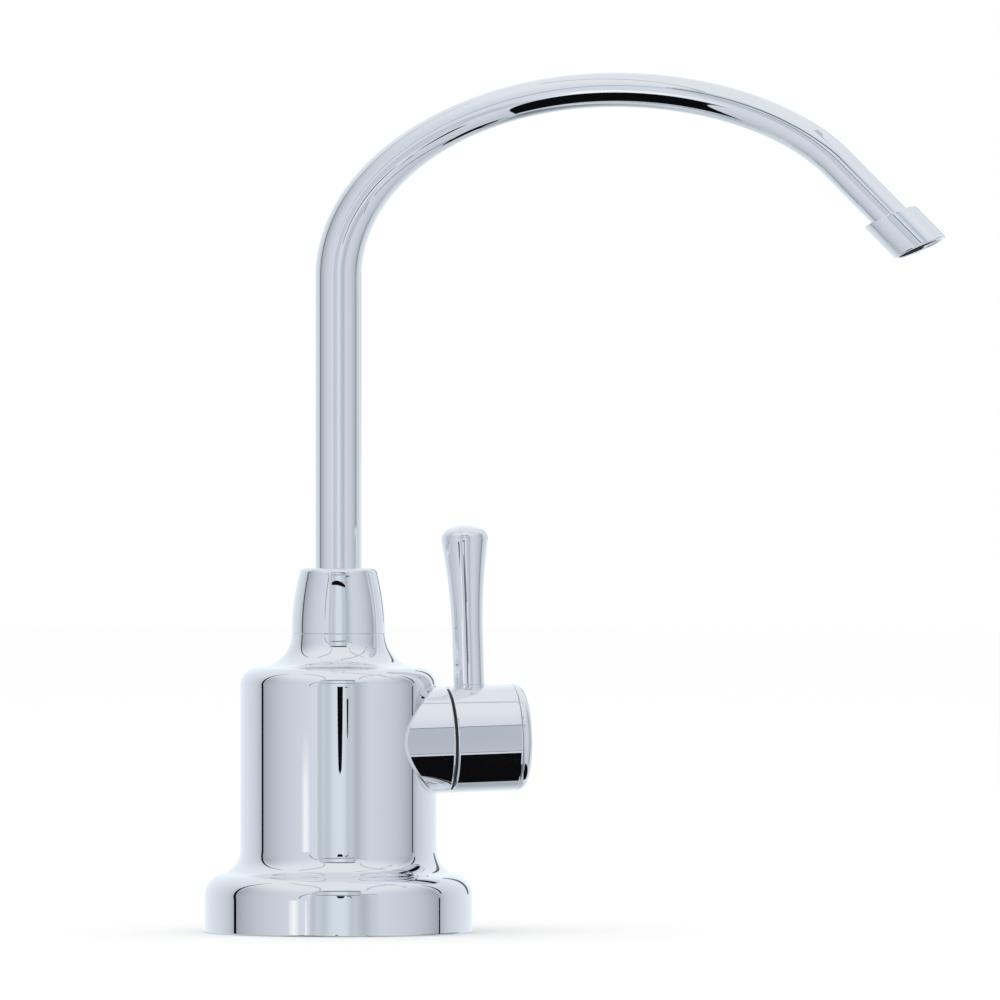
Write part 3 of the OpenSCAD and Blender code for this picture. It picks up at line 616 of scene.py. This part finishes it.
def boss_surface(body, handle, columns):
    """Sleeve round the valve that grows out of the body.

    Each row is a radius and a distance along the valve's axis for every angle. The first rows follow the
    line where a cylinder of that radius meets the body: the root of the body's radius squared less the
    sideways place squared, plus what the rise of the axis adds, seen along the axis. A curved fillet
    leads from there on to the straight sleeve.
    """
    turn = round_angles(columns)
    sideways, upward = np.cos(turn), np.sin(turn)
    whole = np.ones(columns)

    def wall(radius, depth=0.0):
        out = np.sqrt(body.body_r**2 - (radius * sideways - handle.valve_set) ** 2)
        return (out + radius * upward * math.sin(handle.valve_rise)) / math.cos(handle.valve_rise) - depth

    hidden, reach = body.shell_wall / 2, body.boss_fillet
    sunk = reach / 25
    outer, bore, bevel = handle.hub_r, handle.chamber_r, handle.seam_bevel
    t = np.linspace(0, 1, 9)[:, None]
    first, middle, last = (1 - t) ** 2, 2 * t * (1 - t), t * t
    fillet_r = first * (outer + reach) + (middle + last) * outer + 0 * whole
    fillet_u = first * wall(outer + reach, sunk) + middle * wall(outer) + last * (wall(outer) + reach)
    straight_end = handle.boss_u - bevel
    s = eased(12)[1:, None]
    straight_u = (1 - s) * fillet_u[-1] + s * straight_end
    straight_r = np.full(straight_u.shape, outer)
    edge = outline(
        arc(outer - bevel, straight_end, bevel, 0, QUARTER_TURN),
        line((outer - bevel, handle.boss_u), (bore, handle.boss_u), 3),
    )[1:]
    edge_r, edge_u = (np.outer(part, whole) for part in edge.T)
    radius = np.vstack((whole * bore, whole * (outer + reach), fillet_r, straight_r, edge_r))
    along = np.vstack((wall(bore, hidden), wall(outer + reach, hidden), fillet_u, straight_u, edge_u))
    return closed_surface(swept(valve_axis(handle), radius, along, columns))


def collar_profile(body, spout):
    """Closed outline of the barrel-shaped collar, from the neck's seam up and down again inside."""
    z, seam = neck_height(body), body.seam_edge_r
    top, edge, lip = z + spout.collar_h, spout.collar_edge_r, spout.collar_gap
    barrel_h = spout.collar_h - edge
    barrel_r = sagged(body.neck_r - spout.collar_top_r, barrel_h)
    turn, seam_turn = math.asin(barrel_h / barrel_r), math.asin(seam / barrel_r)
    hole_r = spout.upright_r + spout.collar_gap
    return outline(
        arc(body.neck_r - seam, z + seam, seam, -QUARTER_TURN, 0),
        arc(body.neck_r - barrel_r, z, barrel_r, seam_turn, turn, 40),
        arc(spout.collar_top_r - edge, top - edge, edge, turn, QUARTER_TURN, 20),
        line((spout.collar_top_r - edge, top), (hole_r + lip, top), 4),
        arc(hole_r + lip, top - lip, lip, QUARTER_TURN, HALF_TURN),
        runs(
            (hole_r, top - lip),
            (hole_r, spout.collar_shoulder_z, 4),
            (body.neck_bore_r, spout.collar_shoulder_z, 3),
            (body.neck_bore_r, z, 4),
            (body.neck_r - seam, z, 3),
        ),
    )[:-1]


def tube_path(spout):
    """Centre line of the swan neck as x, z, slope above the level and radius.

    An upright, a quarter ellipse up to the apex whose radius falls with the fourth power of the cosine,
    an ellipse beyond the apex, and a straight end at the outlet's slope.
    """

    def straight(start, end, steps, slope, radius):
        points = line(start, end, steps)
        return np.column_stack((points, np.full(steps + 1, slope), np.full(steps + 1, radius)))

    upright = straight((0.0, spout.tube_z), (0.0, spout.bend_z), 30, QUARTER_TURN, spout.upright_r)
    t = np.linspace(0, QUARTER_TURN, 110)
    rising = np.column_stack((
        spout.arch_reach * (1 - np.cos(t)),
        spout.bend_z + spout.arch_rise * np.sin(t),
        np.arctan2(spout.arch_rise * np.cos(t), spout.arch_reach * np.sin(t)),
        spout.end_r + (spout.upright_r - spout.end_r) * np.cos(t) ** 4,
    ))
    t = np.linspace(0, far_turn(spout), 80)
    falling = np.column_stack((
        spout.arch_reach + spout.far_reach * np.sin(t),
        spout.bend_z + spout.arch_rise - spout.far_drop * (1 - np.cos(t)),
        -np.arctan2(spout.far_drop * np.sin(t), spout.far_reach * np.cos(t)),
        np.full(len(t), spout.end_r),
    ))
    origin, forward = outlet_axis(spout)[:2]
    last = origin + spout.tube_end_w * forward
    end = straight(origin[[0, 2]], last[[0, 2]], 12, -spout.outlet_angle, spout.end_r)
    return np.vstack((upright[:-1], rising, falling[1:], end[1:]))


def tube_grid(path, inset, columns):
    """Rings square to the path: centre plus radius times cosine of its normal and sine of the Y axis."""
    x, z, slope, radius = path.T
    y = np.zeros(len(x))
    centre = np.column_stack((x, y, z))
    normal = np.column_stack((-np.sin(slope), y, np.cos(slope)))
    turn = round_angles(columns)
    spoke = np.cos(turn)[None, :, None] * normal[:, None, :] + np.sin(turn)[None, :, None] * BACK
    return centre[:, None, :] + (radius - inset)[:, None, None] * spoke


def slanted_ring(spout, columns, *parts):
    """Closed outline carried round the outlet's axis, where each part slants with the ring's ends or not.

    A part that slants is sheared: its place along the axis grows by the radius times the slant's tangent
    times the cosine of the angle.
    """
    profile = np.vstack([points for points, _ in parts])
    sheared = np.concatenate([np.full(len(points), slants) for points, slants in parts])
    radius = np.repeat(profile[:, :1], columns, axis=1)
    tilt = math.tan(spout.tip_slant) * np.cos(round_angles(columns))
    along = profile[:, 1:] + sheared[:, None] * radius * tilt
    return closed_surface(swept(outlet_axis(spout), radius, along, columns))


def tip_surface(spout, columns):
    """Outlet ring: its two ends slant alike, and the inner step that the tube ends on is square."""
    start, end = spout.straight_len - spout.tip_len, spout.straight_len
    outer, edge, lip = spout.tip_r, spout.tip_edge_r, spout.tip_lip / 3
    bore, hole, step = outer - spout.tip_lip, spout.end_r + RING_FIT, spout.tube_end_w
    slanted = outline(
        line((hole, start), (outer - edge, start), 4),
        arc(outer - edge, start + edge, edge, -QUARTER_TURN, 0),
        line((outer, start + edge), (outer, end - edge), 10),
        arc(outer - edge, end - edge, edge, 0, QUARTER_TURN),
        line((outer - edge, end), (bore + lip, end), 2),
        arc(bore + lip, end - lip, lip, QUARTER_TURN, HALF_TURN, 6),
    )
    square = outline(runs((bore, step + spout.tip_lip), (bore, step, 2), (hole, step, 2)))
    return slanted_ring(spout, columns, (slanted, True), (square, False))


# Painted shade: the sleeve is a black lining that also stands in for the shade inside the mouth
def shade_sleeve_surface(spout, columns):
    """Thin sleeve that lines the mouth: square at the flow straightener, slanted at its outer end."""
    bore, lip = spout.tip_r - spout.tip_lip, spout.tip_lip / 3
    outer, inner = bore - SLEEVE_FIT, bore - spout.sleeve_wall
    start = spout.straight_len - bore * math.tan(spout.tip_slant) - spout.mouth_recess
    end = spout.straight_len - lip - spout.sleeve_set
    edge = (outer - inner) / 3
    square = line((inner, start), (outer, start), 2)
    slanted = outline(
        line((outer, end - 2 * edge), (outer, end - edge), 2),
        arc(outer - edge, end - edge, edge, 0, QUARTER_TURN, 5),
        arc(inner + edge, end - edge, edge, QUARTER_TURN, HALF_TURN, 5),
        line((inner, end - edge), (inner, end - 2 * edge), 2),
    )
    return slanted_ring(spout, columns, (square, False), (slanted, True))


def hub_profile(handle):
    """Closed outline of the lever's hub: outside along the axis, then back through its bores."""
    start = handle.boss_u + handle.seam_gap
    end, bevel, r = start + handle.hub_len, handle.seam_bevel, handle.hub_r
    floor, head, stop = start + handle.hub_floor, start + handle.head_seat, start + handle.spindle_end
    spigot_r = handle.cap_spigot_r + handle.cap_gap
    return outline(
        line((handle.hub_hollow_r, start), (r - bevel, start), 4),
        arc(r - bevel, start + bevel, bevel, -QUARTER_TURN, 0),
        line((r, start + bevel), (r, end - bevel), 16),
        arc(r - bevel, end - bevel, bevel, 0, QUARTER_TURN),
        runs(
            (r - bevel, end),
            (spigot_r, end, 4),
            (spigot_r, head, 3),
            (handle.screw_r, head, 3),
            (handle.screw_r, stop, 2),
            (handle.spindle_r, stop, 2),
            (handle.spindle_r, floor, 4),
            (handle.hub_hollow_r, floor, 4),
            (handle.hub_hollow_r, start, 3),
        ),
    )[:-1]


def cap_profile(handle):
    """Outline of the domed cap from its spigot's middle to its crown's middle."""
    seat = handle.boss_u + handle.seam_gap + handle.hub_len
    base, edge, bevel = seat + handle.cap_gap, handle.cap_edge_r, handle.seam_bevel
    top, rim_x = base + handle.cap_len, handle.hub_r - edge
    rim_u = top - handle.cap_crown - edge
    crown_r = edge + sagged(handle.cap_crown, rim_x)
    turn = math.acos(rim_x / (crown_r - edge))
    pole = rim_x / CAP_POLE_PART
    spigot_r, spigot_u = handle.cap_spigot_r, seat - handle.cap_spigot_len
    return outline(
        runs((pole, spigot_u), (spigot_r, spigot_u, 4), (spigot_r, base, 3), (handle.hub_r - bevel, base, 4)),
        arc(handle.hub_r - bevel, base + bevel, bevel, -QUARTER_TURN, 0),
        arc(rim_x, rim_u, edge, 0, turn, 26),
        arc(0.0, top - crown_r, crown_r, turn, QUARTER_TURN - pole / crown_r, 26),
    )


def lever_seat_profile(handle):
    """Outline of the flat seat that the lever stands on, from inside the hub to its top's middle."""
    r, edge, top = handle.lever_r, handle.lever_foot_edge, handle.hub_r + handle.lever_seat_h
    low, pole = handle.hub_r - r / 2, r / LEVER_POLE_PART
    return outline(
        runs((pole, low), (r, low, 3), (r, top - edge, 6)),
        arc(r - edge, top - edge, edge, 0, QUARTER_TURN, 6),
        line((r - edge, top), (pole, top), 4),
    )


def lever_profile(handle):
    """Outline of the lever from its flat foot to its crown.

    A straight stem, a widening arc, the top edge and the crown, each tangent to the next.
    """
    r, foot_edge, flare_z = handle.lever_r, handle.lever_foot_edge, handle.lever_flare_z
    foot = handle.hub_r + handle.lever_seat_h + handle.cap_gap
    edge, edge_x = handle.lever_edge_r, handle.lever_top_r - handle.lever_edge_r
    edge_z = handle.lever_len - handle.lever_crown - edge
    rise, step = edge_z - flare_z, r - edge_x
    flare_r = (step * step + rise * rise - edge * edge) / (2 * (edge - step))
    flare_turn = math.asin(rise / (flare_r + edge))
    crown_r = edge + sagged(handle.lever_crown, edge_x)
    crown_turn = math.acos(edge_x / (crown_r - edge))
    pole = edge_x / LEVER_POLE_PART
    return outline(
        line((pole, foot), (r - foot_edge, foot), 4),
        arc(r - foot_edge, foot + foot_edge, foot_edge, -QUARTER_TURN, 0, 6),
        line((r, foot + foot_edge), (r, flare_z), 16),
        arc(r + flare_r, flare_z, flare_r, HALF_TURN, HALF_TURN - flare_turn, 30),
        arc(edge_x, edge_z, edge, -flare_turn, crown_turn, 28),
        arc(0.0, handle.lever_len - crown_r, crown_r, crown_turn, QUARTER_TURN - pole / crown_r, 16),
    )


# What the chrome mirrors, as azimuths right of the camera and elevations above the level, in degrees.
# A distance is a share of the room's radius, and a shade is the name of one of the stage's colours.

# Tent: how far its left and right seams are from the camera, and over what angles its front fades to them
SEAMS = (100.0, 98.0)
SEAM_FADES = (36.0, 24.0)
# Tent behind the seams: the angle over which it fades to them, and the angle that would double it
BEHIND_FADE, BEHIND_GROWTH = 6.0, 140.0
# Where the ground turns to the ground behind, and where the sides turn to the roof and to the ground
BEHIND_BLEND, ROOF_BLEND, GROUND_BLEND = (140, 172), (20, 60), (-10, -85)
TENT_DISTANCE = 1.1
# Opening: its level, and the middle, half width and depth of each soft upright fold
OPENING_LEVEL = 0.868
OPENING_FOLDS = (
    (-21.1, 4.0, 0.21),
    (-11.7, 5.1, 0.2),
    (12.0, 3.6, 0.16),
    (22.0, 6.8, 0.29),
    (33.2, 7.3, 0.11),
)
# Two windows of the opening: azimuths, elevations, distance
OPENING_WINDOWS = {
    "opening": ((-24, 23), (-27, 45), 1.04),
    "right_edge": ((23, 37), (-27, 26.2), 1.05),
}
# Dark frame behind the second one
EDGE_FRAME = ((23, 37), (-28, 27.4))
EDGE_FRAME_DISTANCE = 1.06
# Glint low on the left: its middle, half width, foot and top, and the elevation at which it is brightest
GLINT_MIDDLE, GLINT_HALF = -38, 6
GLINT_FOOT, GLINT_TOP, GLINT_FULL = -6, -1.6, -2.05
GLINT_DISTANCE = 0.99
# Stripes: three points, width, shade
STRIPES = {
    "left_seam": (((-100, -40), (-101, 8), (-116, 58)), 3.4, "dark"),
    "right_seam": (((97.8, -34), (98, -16), (98.2, 1.5)), 2.2, "dark"),
    "right_seam_top": (((103, 13), (107, 30), (111, 47)), 2.6, "dark"),
    "left_fold": (((-20, 44), (-40, 68), (-112, 68)), 3.0, "fold"),
    "right_fold": (((31, 45), (56, 64), (112, 62)), 3.0, "fold"),
    "gap_bar": (((-19, 39.5), (3, 40.5), (24, 39.5)), 3.8, "dark"),
    "high_arc": (((-19, 23.3), (0, 24), (20, 22)), 2.3, "dark"),
    "panel_line": (((-33, 6), (-30.5, 22), (-21, 33)), 1.4, "edge"),
    "slit_line": (((-24, -9), (-20.5, -16), (-12, -30)), 2.2, "fold"),
    "slit": (((-24.5, -19.5), (-27.6, -12), (-26.9, -2.8)), 3.0, "bright"),
    "lever_line": (((0, -3.5), (-1, -12), (-1, -24)), 3.0, "dark"),
    "back_line": (((151, 0.5), (155, 12), (163, 28)), 7.0, "edge"),
}
STRIPE_DISTANCE = 0.98
# The bar over the collar hangs much nearer than the other stripes
NEAR_STRIPES = {"gap_bar": 0.121}
# Card under the cap's rim: azimuths, elevations, squareness, and the middle and spread of its tilt
RIM_WINDOW = ((24, 130), (-78, -48), 6.0)
RIM_TILT_MIDDLE, RIM_TILT_SPREAD = 80, 16
RIM_DISTANCE = 0.009
# Bands that run down in front: pitches, sideways angles of the left and right sides, and their powers
BANDS = {
    "tube_card": ((17.5, 84), (-30.9, -33.8), (-30, 0), (1.0, 0.6)),
    "hub_card": ((35, 110), (21.8, 9.1), (23.4, 10.7), (1.25, 1.25)),
}
BAND_DISTANCE = 0.97
# Upright cards, in millimetres: middle and half width, foot and top, and the power by which they widen
CARDS = {
    "body_card": ((8.3, 10.9), (34, 70), 0.22),
    "body_line_card": ((35, 3.2), (43, 53), 0.3),
    "lever_card": ((30.5, 5.5), (59, 68), 0.0),
}


def studio_directions(turn):
    """Unit vectors towards the camera and to its right."""
    c, s = math.cos(turn), math.sin(turn)
    return np.array((s, -c, 0.0)), np.array((c, s, 0.0))


def seen_at(turn, azimuth, elevation):
    """Unit vectors at azimuths, right of the camera, and elevations, in degrees."""
    camera, right = studio_directions(turn)
    a, e = (np.radians(part)[..., None] for part in np.broadcast_arrays(azimuth, elevation))
    return np.cos(e) * (np.cos(a) * camera + np.sin(a) * right) + np.sin(e) * UP


def smooth(low, high, value):
    """A smooth step from nought at low to one at high."""
    t = np.clip((value - low) / (high - low), 0, 1)
    return t * t * (3 - 2 * t)


def tent_shades(stage, azimuth, elevation):
    """Brightness of the tent round the tap, for arrays of directions in degrees.

    In front it rises from each upright seam by one less an exponential of the angle from the seam. Behind
    the seams it starts a third darker, rises faster and then grows evenly. Smooth steps of the elevation
    lead into the roof and into the ground.
    """
    left = azimuth < 0
    from_seam = np.where(left, *SEAMS) - np.abs(azimuth)
    left, away = left[..., None], np.abs(from_seam)[..., None]
    front = np.where(left, stage.left, stage.right)
    front = front + np.exp(-away / np.where(left, *SEAM_FADES)) * (np.array(stage.seam) - front)
    behind = np.array(stage.behind) * (1 + away / BEHIND_GROWTH - np.exp(-away / BEHIND_FADE) / 3)
    side = np.where((from_seam > 0)[..., None], front, behind)
    back = smooth(*BEHIND_BLEND, np.abs(azimuth))[..., None]
    ground = np.array(stage.ground) + back * (np.array(stage.ground_behind) - np.array(stage.ground))
    up, down = (smooth(*blend, elevation)[..., None] for blend in (ROOF_BLEND, GROUND_BLEND))
    return side + up * (np.array(stage.roof) - side) + down * (ground - side)


def opening_shades(stage, azimuth):
    """Brightness across the tent's opening: even, less a bell of the azimuth for each soft upright fold."""
    shade = sum(depth * np.exp(-(((azimuth - middle) / half) ** 2)) for middle, half, depth in OPENING_FOLDS)
    return (OPENING_LEVEL - shade)[..., None] * np.array(stage.opening)


def window(azimuth, elevation, squareness=20.0):
    """Azimuths and elevations of an upright opening, in degrees, with corners rounded as a superellipse."""
    across = np.sin(np.linspace(-np.pi / 2, np.pi / 2, 61))
    low, high = elevation
    reach = (1 - np.abs(across) ** squareness) ** (1 / squareness) * (high - low) / 2
    a = np.interp(across, (-1, 1), azimuth)
    e = (low + high) / 2 + np.linspace(-1, 1, 25)[:, None] * reach
    return np.broadcast_to(a, e.shape), e


def stripe(points, width):
    """Azimuths and elevations of a thin stripe along a smooth curve through three points, in degrees."""
    t = np.linspace(0, 1, 33)[None, :, None]
    first, middle, last = (np.array(point, float) for point in points)
    bend = 2 * middle - (first + last) / 2
    path = (1 - t) ** 2 * first + 2 * t * (1 - t) * bend + t * t * last
    along = np.gradient(path[0], axis=0)
    across = np.column_stack((-along[:, 1], along[:, 0])) / np.linalg.norm(along, axis=1)[:, None]
    taper = np.sin(np.pi * np.linspace(0.02, 0.98, 33))[:, None] ** 0.3
    path = path + np.linspace(-0.5, 0.5, 5)[:, None, None] * width * across * taper
    return path[..., 0], path[..., 1]


def low_band(turn, pitch, left, right, bends):
    """Unit vectors of a band that runs down in front, by its pitch below the level, in degrees.

    Each side goes from its first sideways angle to its last along its own power of the way down.
    """
    camera, sideways = studio_directions(turn)
    way = np.linspace(0, 1, 49)[:, None]
    p = np.radians(pitch[0] + way * (pitch[1] - pitch[0]))[..., None]
    edges = [side[0] + way**bend * (side[1] - side[0]) for side, bend in zip((left, right), bends)]
    a = np.radians(edges[0] + np.linspace(0, 1, 17) * (edges[1] - edges[0]))[..., None]
    return np.cos(a) * (np.cos(p) * camera - np.sin(p) * UP) + np.sin(a) * sideways


def standing_card(turn, distance, across, upright, taper):
    """Points of an upright card in front, which widens from its foot with a power of the height."""
    camera, right = studio_directions(turn)
    (middle, half), (low, high) = across, upright
    way = np.linspace(0, 1, 33)[:, None]
    sideways = middle + np.linspace(-1, 1, 9) * half * way**taper
    height = np.broadcast_to(low + way * (high - low), sideways.shape)
    return distance * camera + (sideways[..., None] * right + height[..., None] * UP) * MM


def add_panel(name, grid, shades):
    """A stage panel that only mirrored light sees: it lights, hides and shades nothing else."""
    rows, columns = grid.shape[:2]
    mesh = bpy.data.meshes.new(name)
    mesh.from_pydata(grid.reshape(-1, 3), [], quads_between(rows, columns, False, False).tolist())
    colours = np.ones((rows, columns, 4))
    colours[..., :3] = shades
    mesh.attributes.new("shade", "FLOAT_COLOR", "POINT").data.foreach_set("color", colours.ravel())
    panel = bpy.data.objects.new(name, mesh)
    bpy.context.scene.collection.objects.link(panel)
    mesh.materials.append(bpy.data.materials["glow"])
    for ray in ("camera", "diffuse", "transmission", "volume_scatter", "shadow"):
        setattr(panel, f"visible_{ray}", False)


class FILTER_TAP_OT_body(bpy.types.Operator):
    """Builds the polished bell-shaped body with its valve boss"""

    bl_idname = "filter_tap.body"
    bl_label = "Body"

    def execute(self, context):
        scene = context.scene
        body, handle, columns = scene.tap_body, scene.tap_handle, scene.tap_stage.columns
        shell = turned(BODY_AXIS, body_profile(body), columns)
        add_chrome("polished_body", "base", "body_shell", shell, boss_surface(body, handle, columns))
        return {"FINISHED"}


class FILTER_TAP_OT_collar(bpy.types.Operator):
    """Builds the polished collar that holds the spout"""

    bl_idname = "filter_tap.collar"
    bl_label = "Collar"

    def execute(self, context):
        scene = context.scene
        profile = collar_profile(scene.tap_body, scene.tap_spout)
        collar = turned(BODY_AXIS, profile, scene.tap_stage.columns)
        add_chrome("polished_collar", "base", "spout_collar", collar)
        return {"FINISHED"}


class FILTER_TAP_OT_spout(bpy.types.Operator):
    """Builds the swan-neck tube, its outlet ring and the sleeve in its mouth, partly painted shade"""

    bl_idname = "filter_tap.spout"
    bl_label = "Spout"

    def execute(self, context):
        scene = context.scene
        spout, columns = scene.tap_spout, scene.tap_stage.columns // 2
        path = tube_path(spout)
        outside, inside = tube_grid(path, 0.0, columns), tube_grid(path[::-2], spout.tube_wall, columns)
        add_chrome("polished_tube", "spout", "spout_tube", closed_surface(np.vstack((outside, inside))))
        add_chrome("polished_tip_ring", "spout", "tip_ring", tip_surface(spout, columns))
        # The sleeve's black plastic is partly painted shade for the dark inside of the mouth
        sleeve = shade_sleeve_surface(spout, columns)
        add_piece("mouth_shade_sleeve", (sleeve,), "black_moulding", "black_plastic", "spout")
        return {"FINISHED"}


class FILTER_TAP_OT_handle(bpy.types.Operator):
    """Builds the lever's hub, its cap and the lever"""

    bl_idname = "filter_tap.handle"
    bl_label = "Handle"

    def execute(self, context):
        scene = context.scene
        handle, columns = scene.tap_handle, scene.tap_stage.columns
        across, upright = valve_axis(handle), lever_axis(handle)
        hub = turned(across, hub_profile(handle), columns)
        seat = turned(upright, lever_seat_profile(handle), columns // 2, False)
        add_chrome("polished_hub", "handle", "lever_hub", hub, seat)
        cap = turned(across, cap_profile(handle), columns, False)
        add_chrome("polished_cap", "handle", "hub_cap", cap)
        lever = turned(upright, lever_profile(handle), columns // 2, False)
        add_chrome("polished_lever", "handle", "lever_arm", lever)
        return {"FINISHED"}


class FILTER_TAP_OT_finishes(bpy.types.Operator):
    """Makes the finishes and gives each CAD piece the one of its material slot"""

    bl_idname = "filter_tap.finishes"
    bl_label = "Finishes"

    def execute(self, context):
        colours = context.scene.tap_colours
        finishes = {
            "chrome": chrome_finish(colours),
            "brass": brass_finish(colours),
            "steel": steel_finish(colours),
            "rubber": rubber_finish(colours),
            "white_plastic": plastic_finish("white_moulding", colours.white_plastic),
            "black_plastic": plastic_finish("black_moulding", colours.black_plastic),
            "ceramic": ceramic_finish(colours),
        }
        for part in frame["record"]["subparts"]:
            for slot in frame["nodes"][part["node"]].material_slots:
                slot.material = finishes[part["material_slot"]]
        return {"FINISHED"}


class FILTER_TAP_OT_stage(bpy.types.Operator):
    """Sets up the floor, the light, the panels that the chrome mirrors and the camera"""

    bl_idname = "filter_tap.stage"
    bl_label = "Stage"

    def execute(self, context):
        scene, stage = context.scene, context.scene.tap_stage
        scene.view_settings.view_transform = "Standard"
        self.add_camera(scene, stage)
        self.add_floor(scene, stage)
        self.add_light(scene, stage)
        self.add_panels(stage, scene.tap_handle)
        return {"FINISHED"}

    def add_camera(self, scene, stage):
        """A level camera at the photograph's viewing angle."""
        towards, right = studio_directions(stage.camera_turn)
        data = bpy.data.cameras.new("camera")
        data.sensor_width = SENSOR_WIDTH
        data.lens = data.sensor_width * stage.camera_distance / stage.frame_width
        data.clip_start, data.clip_end = CLIP_START, CLIP_END
        camera = bpy.data.objects.new("camera", data)
        camera.location = stage.aim_right * right + stage.aim_up * UP + stage.camera_distance * towards
        camera.rotation_euler = (QUARTER_TURN, 0.0, stage.camera_turn)
        scene.collection.objects.link(camera)
        scene.camera = camera

    def add_floor(self, scene, stage):
        """A wide pale floor just under the standing ring. Mirrors see the white room in its place."""
        corners = FLOOR_HALF * np.array(((-1, -1, 0), (1, -1, 0), (1, 1, 0), (-1, 1, 0)))
        mesh = bpy.data.meshes.new("floor")
        mesh.from_pydata(corners, [], [(0, 1, 2, 3)])
        floor = bpy.data.objects.new("floor", mesh)
        floor.location.z = -FLOOR_DROP
        scene.collection.objects.link(floor)
        finish, shader = new_finish("floor")
        diffuse = shader.add("ShaderNodeBsdfDiffuse", None, {"Color": (*stage.floor, 1.0)})
        shader.add("ShaderNodeOutputMaterial", None, {"Surface": diffuse})
        mesh.materials.append(finish)
        floor.visible_glossy = False

    def add_light(self, scene, stage):
        """White all round for the camera and for mirrors, a soft even light, and one weak lamp overhead."""
        world = bpy.data.worlds.new("studio")
        world.use_nodes = True
        shader = Shader(world.node_tree)
        camera, glossy, transmission = (
            shader.add("ShaderNodeLightPath", output=f"Is {ray} Ray")
            for ray in ("Camera", "Glossy", "Transmission")
        )
        seen = shader.add(
            "ShaderNodeMath", {"operation": "ADD", "use_clamp": True}, {0: camera + glossy, 1: transmission}
        )
        soft, white = (
            shader.add("ShaderNodeBackground", None, {"Color": WHITE, "Strength": strength})
            for strength in (stage.world_level, 1.0)
        )
        mixed = shader.add("ShaderNodeMixShader", None, {0: seen, 1: soft, 2: white})
        shader.add("ShaderNodeOutputWorld", None, {"Surface": mixed})
        scene.world = world
        lamp_data = bpy.data.lights.new("soft_lamp", "AREA")
        lamp_data.size = LAMP_WIDTH
        lamp_data.energy = stage.lamp_power
        lamp = bpy.data.objects.new("soft_lamp", lamp_data)
        lamp.location = LAMP_PLACE
        lamp.rotation_euler = LAMP_TILT
        lamp.visible_glossy = False
        scene.collection.objects.link(lamp)

    def add_panels(self, stage, handle):
        """A graded white tent with two seams and an opening, and before it thin lines and dark cards."""
        glow_finish()
        turn, centre = stage.camera_turn, stage.aim_up * UP

        def far(name, directions, shades, distance, middle=centre):
            add_panel(name, middle + distance * stage.room_r * directions, np.array(shades))

        azimuth, elevation = np.meshgrid(np.linspace(-180, 180, 361), np.linspace(-89.5, 89.5, 120))
        tent = tent_shades(stage, azimuth, elevation)
        far("tent", seen_at(turn, azimuth, elevation), tent, TENT_DISTANCE)

        for name, (across, upright, distance) in OPENING_WINDOWS.items():
            azimuth, elevation = window(across, upright)
            far(name, seen_at(turn, azimuth, elevation), opening_shades(stage, azimuth), distance)
        far("right_edge_frame", seen_at(turn, *window(*EDGE_FRAME)), stage.edge, EDGE_FRAME_DISTANCE)

        sides = (GLINT_MIDDLE - GLINT_HALF, GLINT_MIDDLE + GLINT_HALF)
        azimuth, elevation = window(sides, (GLINT_FOOT, GLINT_TOP))
        bell = (1 - ((azimuth - GLINT_MIDDLE) / GLINT_HALF) ** 2) ** 2
        share = (bell * smooth(GLINT_TOP, GLINT_FULL, elevation))[..., None]
        tent = tent_shades(stage, azimuth, elevation)
        glint = tent + share * (np.array(stage.bright) - tent)
        far("low_glint", seen_at(turn, azimuth, elevation), glint, GLINT_DISTANCE)

        for name, (points, width, shade) in STRIPES.items():
            distance = NEAR_STRIPES.get(name, STRIPE_DISTANCE)
            far(name, seen_at(turn, *stripe(points, width)), getattr(stage, shade), distance)

        origin, out = valve_axis(handle)[:2]
        rim = origin + (handle.boss_u + handle.hub_len + handle.cap_len) * out
        azimuth, elevation = window(*RIM_WINDOW)
        tilt = (azimuth - RIM_TILT_MIDDLE) / RIM_TILT_SPREAD
        far("rim_card", seen_at(turn, azimuth, elevation + tilt), stage.dark, RIM_DISTANCE, rim)
        for name, band in BANDS.items():
            far(name, low_band(turn, *band), stage.dark, BAND_DISTANCE)
        for name, card in CARDS.items():
            add_panel(name, standing_card(turn, stage.card_distance, *card), np.array(stage.dark))


class FILTER_TAP_PT_panel(bpy.types.Panel):
    """Sidebar panel with the steps and the sizes of the tap"""

    bl_idname = "FILTER_TAP_PT_panel"
    bl_label = "Filter Tap"
    bl_space_type = "VIEW_3D"
    bl_region_type = "UI"
    bl_category = "Filter Tap"

    def draw(self, context):
        for step in STEPS:
            self.layout.operator(step.bl_idname)
        for group in GROUPS:
            settings = getattr(context.scene, group)
            column = self.layout.column(align=True)
            for name in settings.bl_rna.properties.keys():
                if name not in ("rna_type", "name"):
                    column.prop(settings, name)


STEPS = (
    FILTER_TAP_OT_finishes,
    FILTER_TAP_OT_body,
    FILTER_TAP_OT_collar,
    FILTER_TAP_OT_spout,
    FILTER_TAP_OT_handle,
    FILTER_TAP_OT_stage,
)
GROUPS = {
    "tap_body": BodySizes,
    "tap_spout": SpoutSizes,
    "tap_handle": HandleSizes,
    "tap_colours": FinishColours,
    "tap_stage": StageSettings,
}


def register():
    for kind in (*GROUPS.values(), *STEPS, FILTER_TAP_PT_panel):
        bpy.utils.register_class(kind)
    for name, kind in GROUPS.items():
        setattr(bpy.types.Scene, name, PointerProperty(type=kind))


def unregister():
    for name in GROUPS:
        delattr(bpy.types.Scene, name)
    for kind in reversed((*GROUPS.values(), *STEPS, FILTER_TAP_PT_panel)):
        bpy.utils.unregister_class(kind)


def main():
    register()
    bpy.ops.filter_tap.finishes()
    bpy.ops.filter_tap.body()
    bpy.ops.filter_tap.collar()
    bpy.ops.filter_tap.spout()
    bpy.ops.filter_tap.handle()
    bpy.ops.filter_tap.stage()


if __name__ == "__main__":
    main()
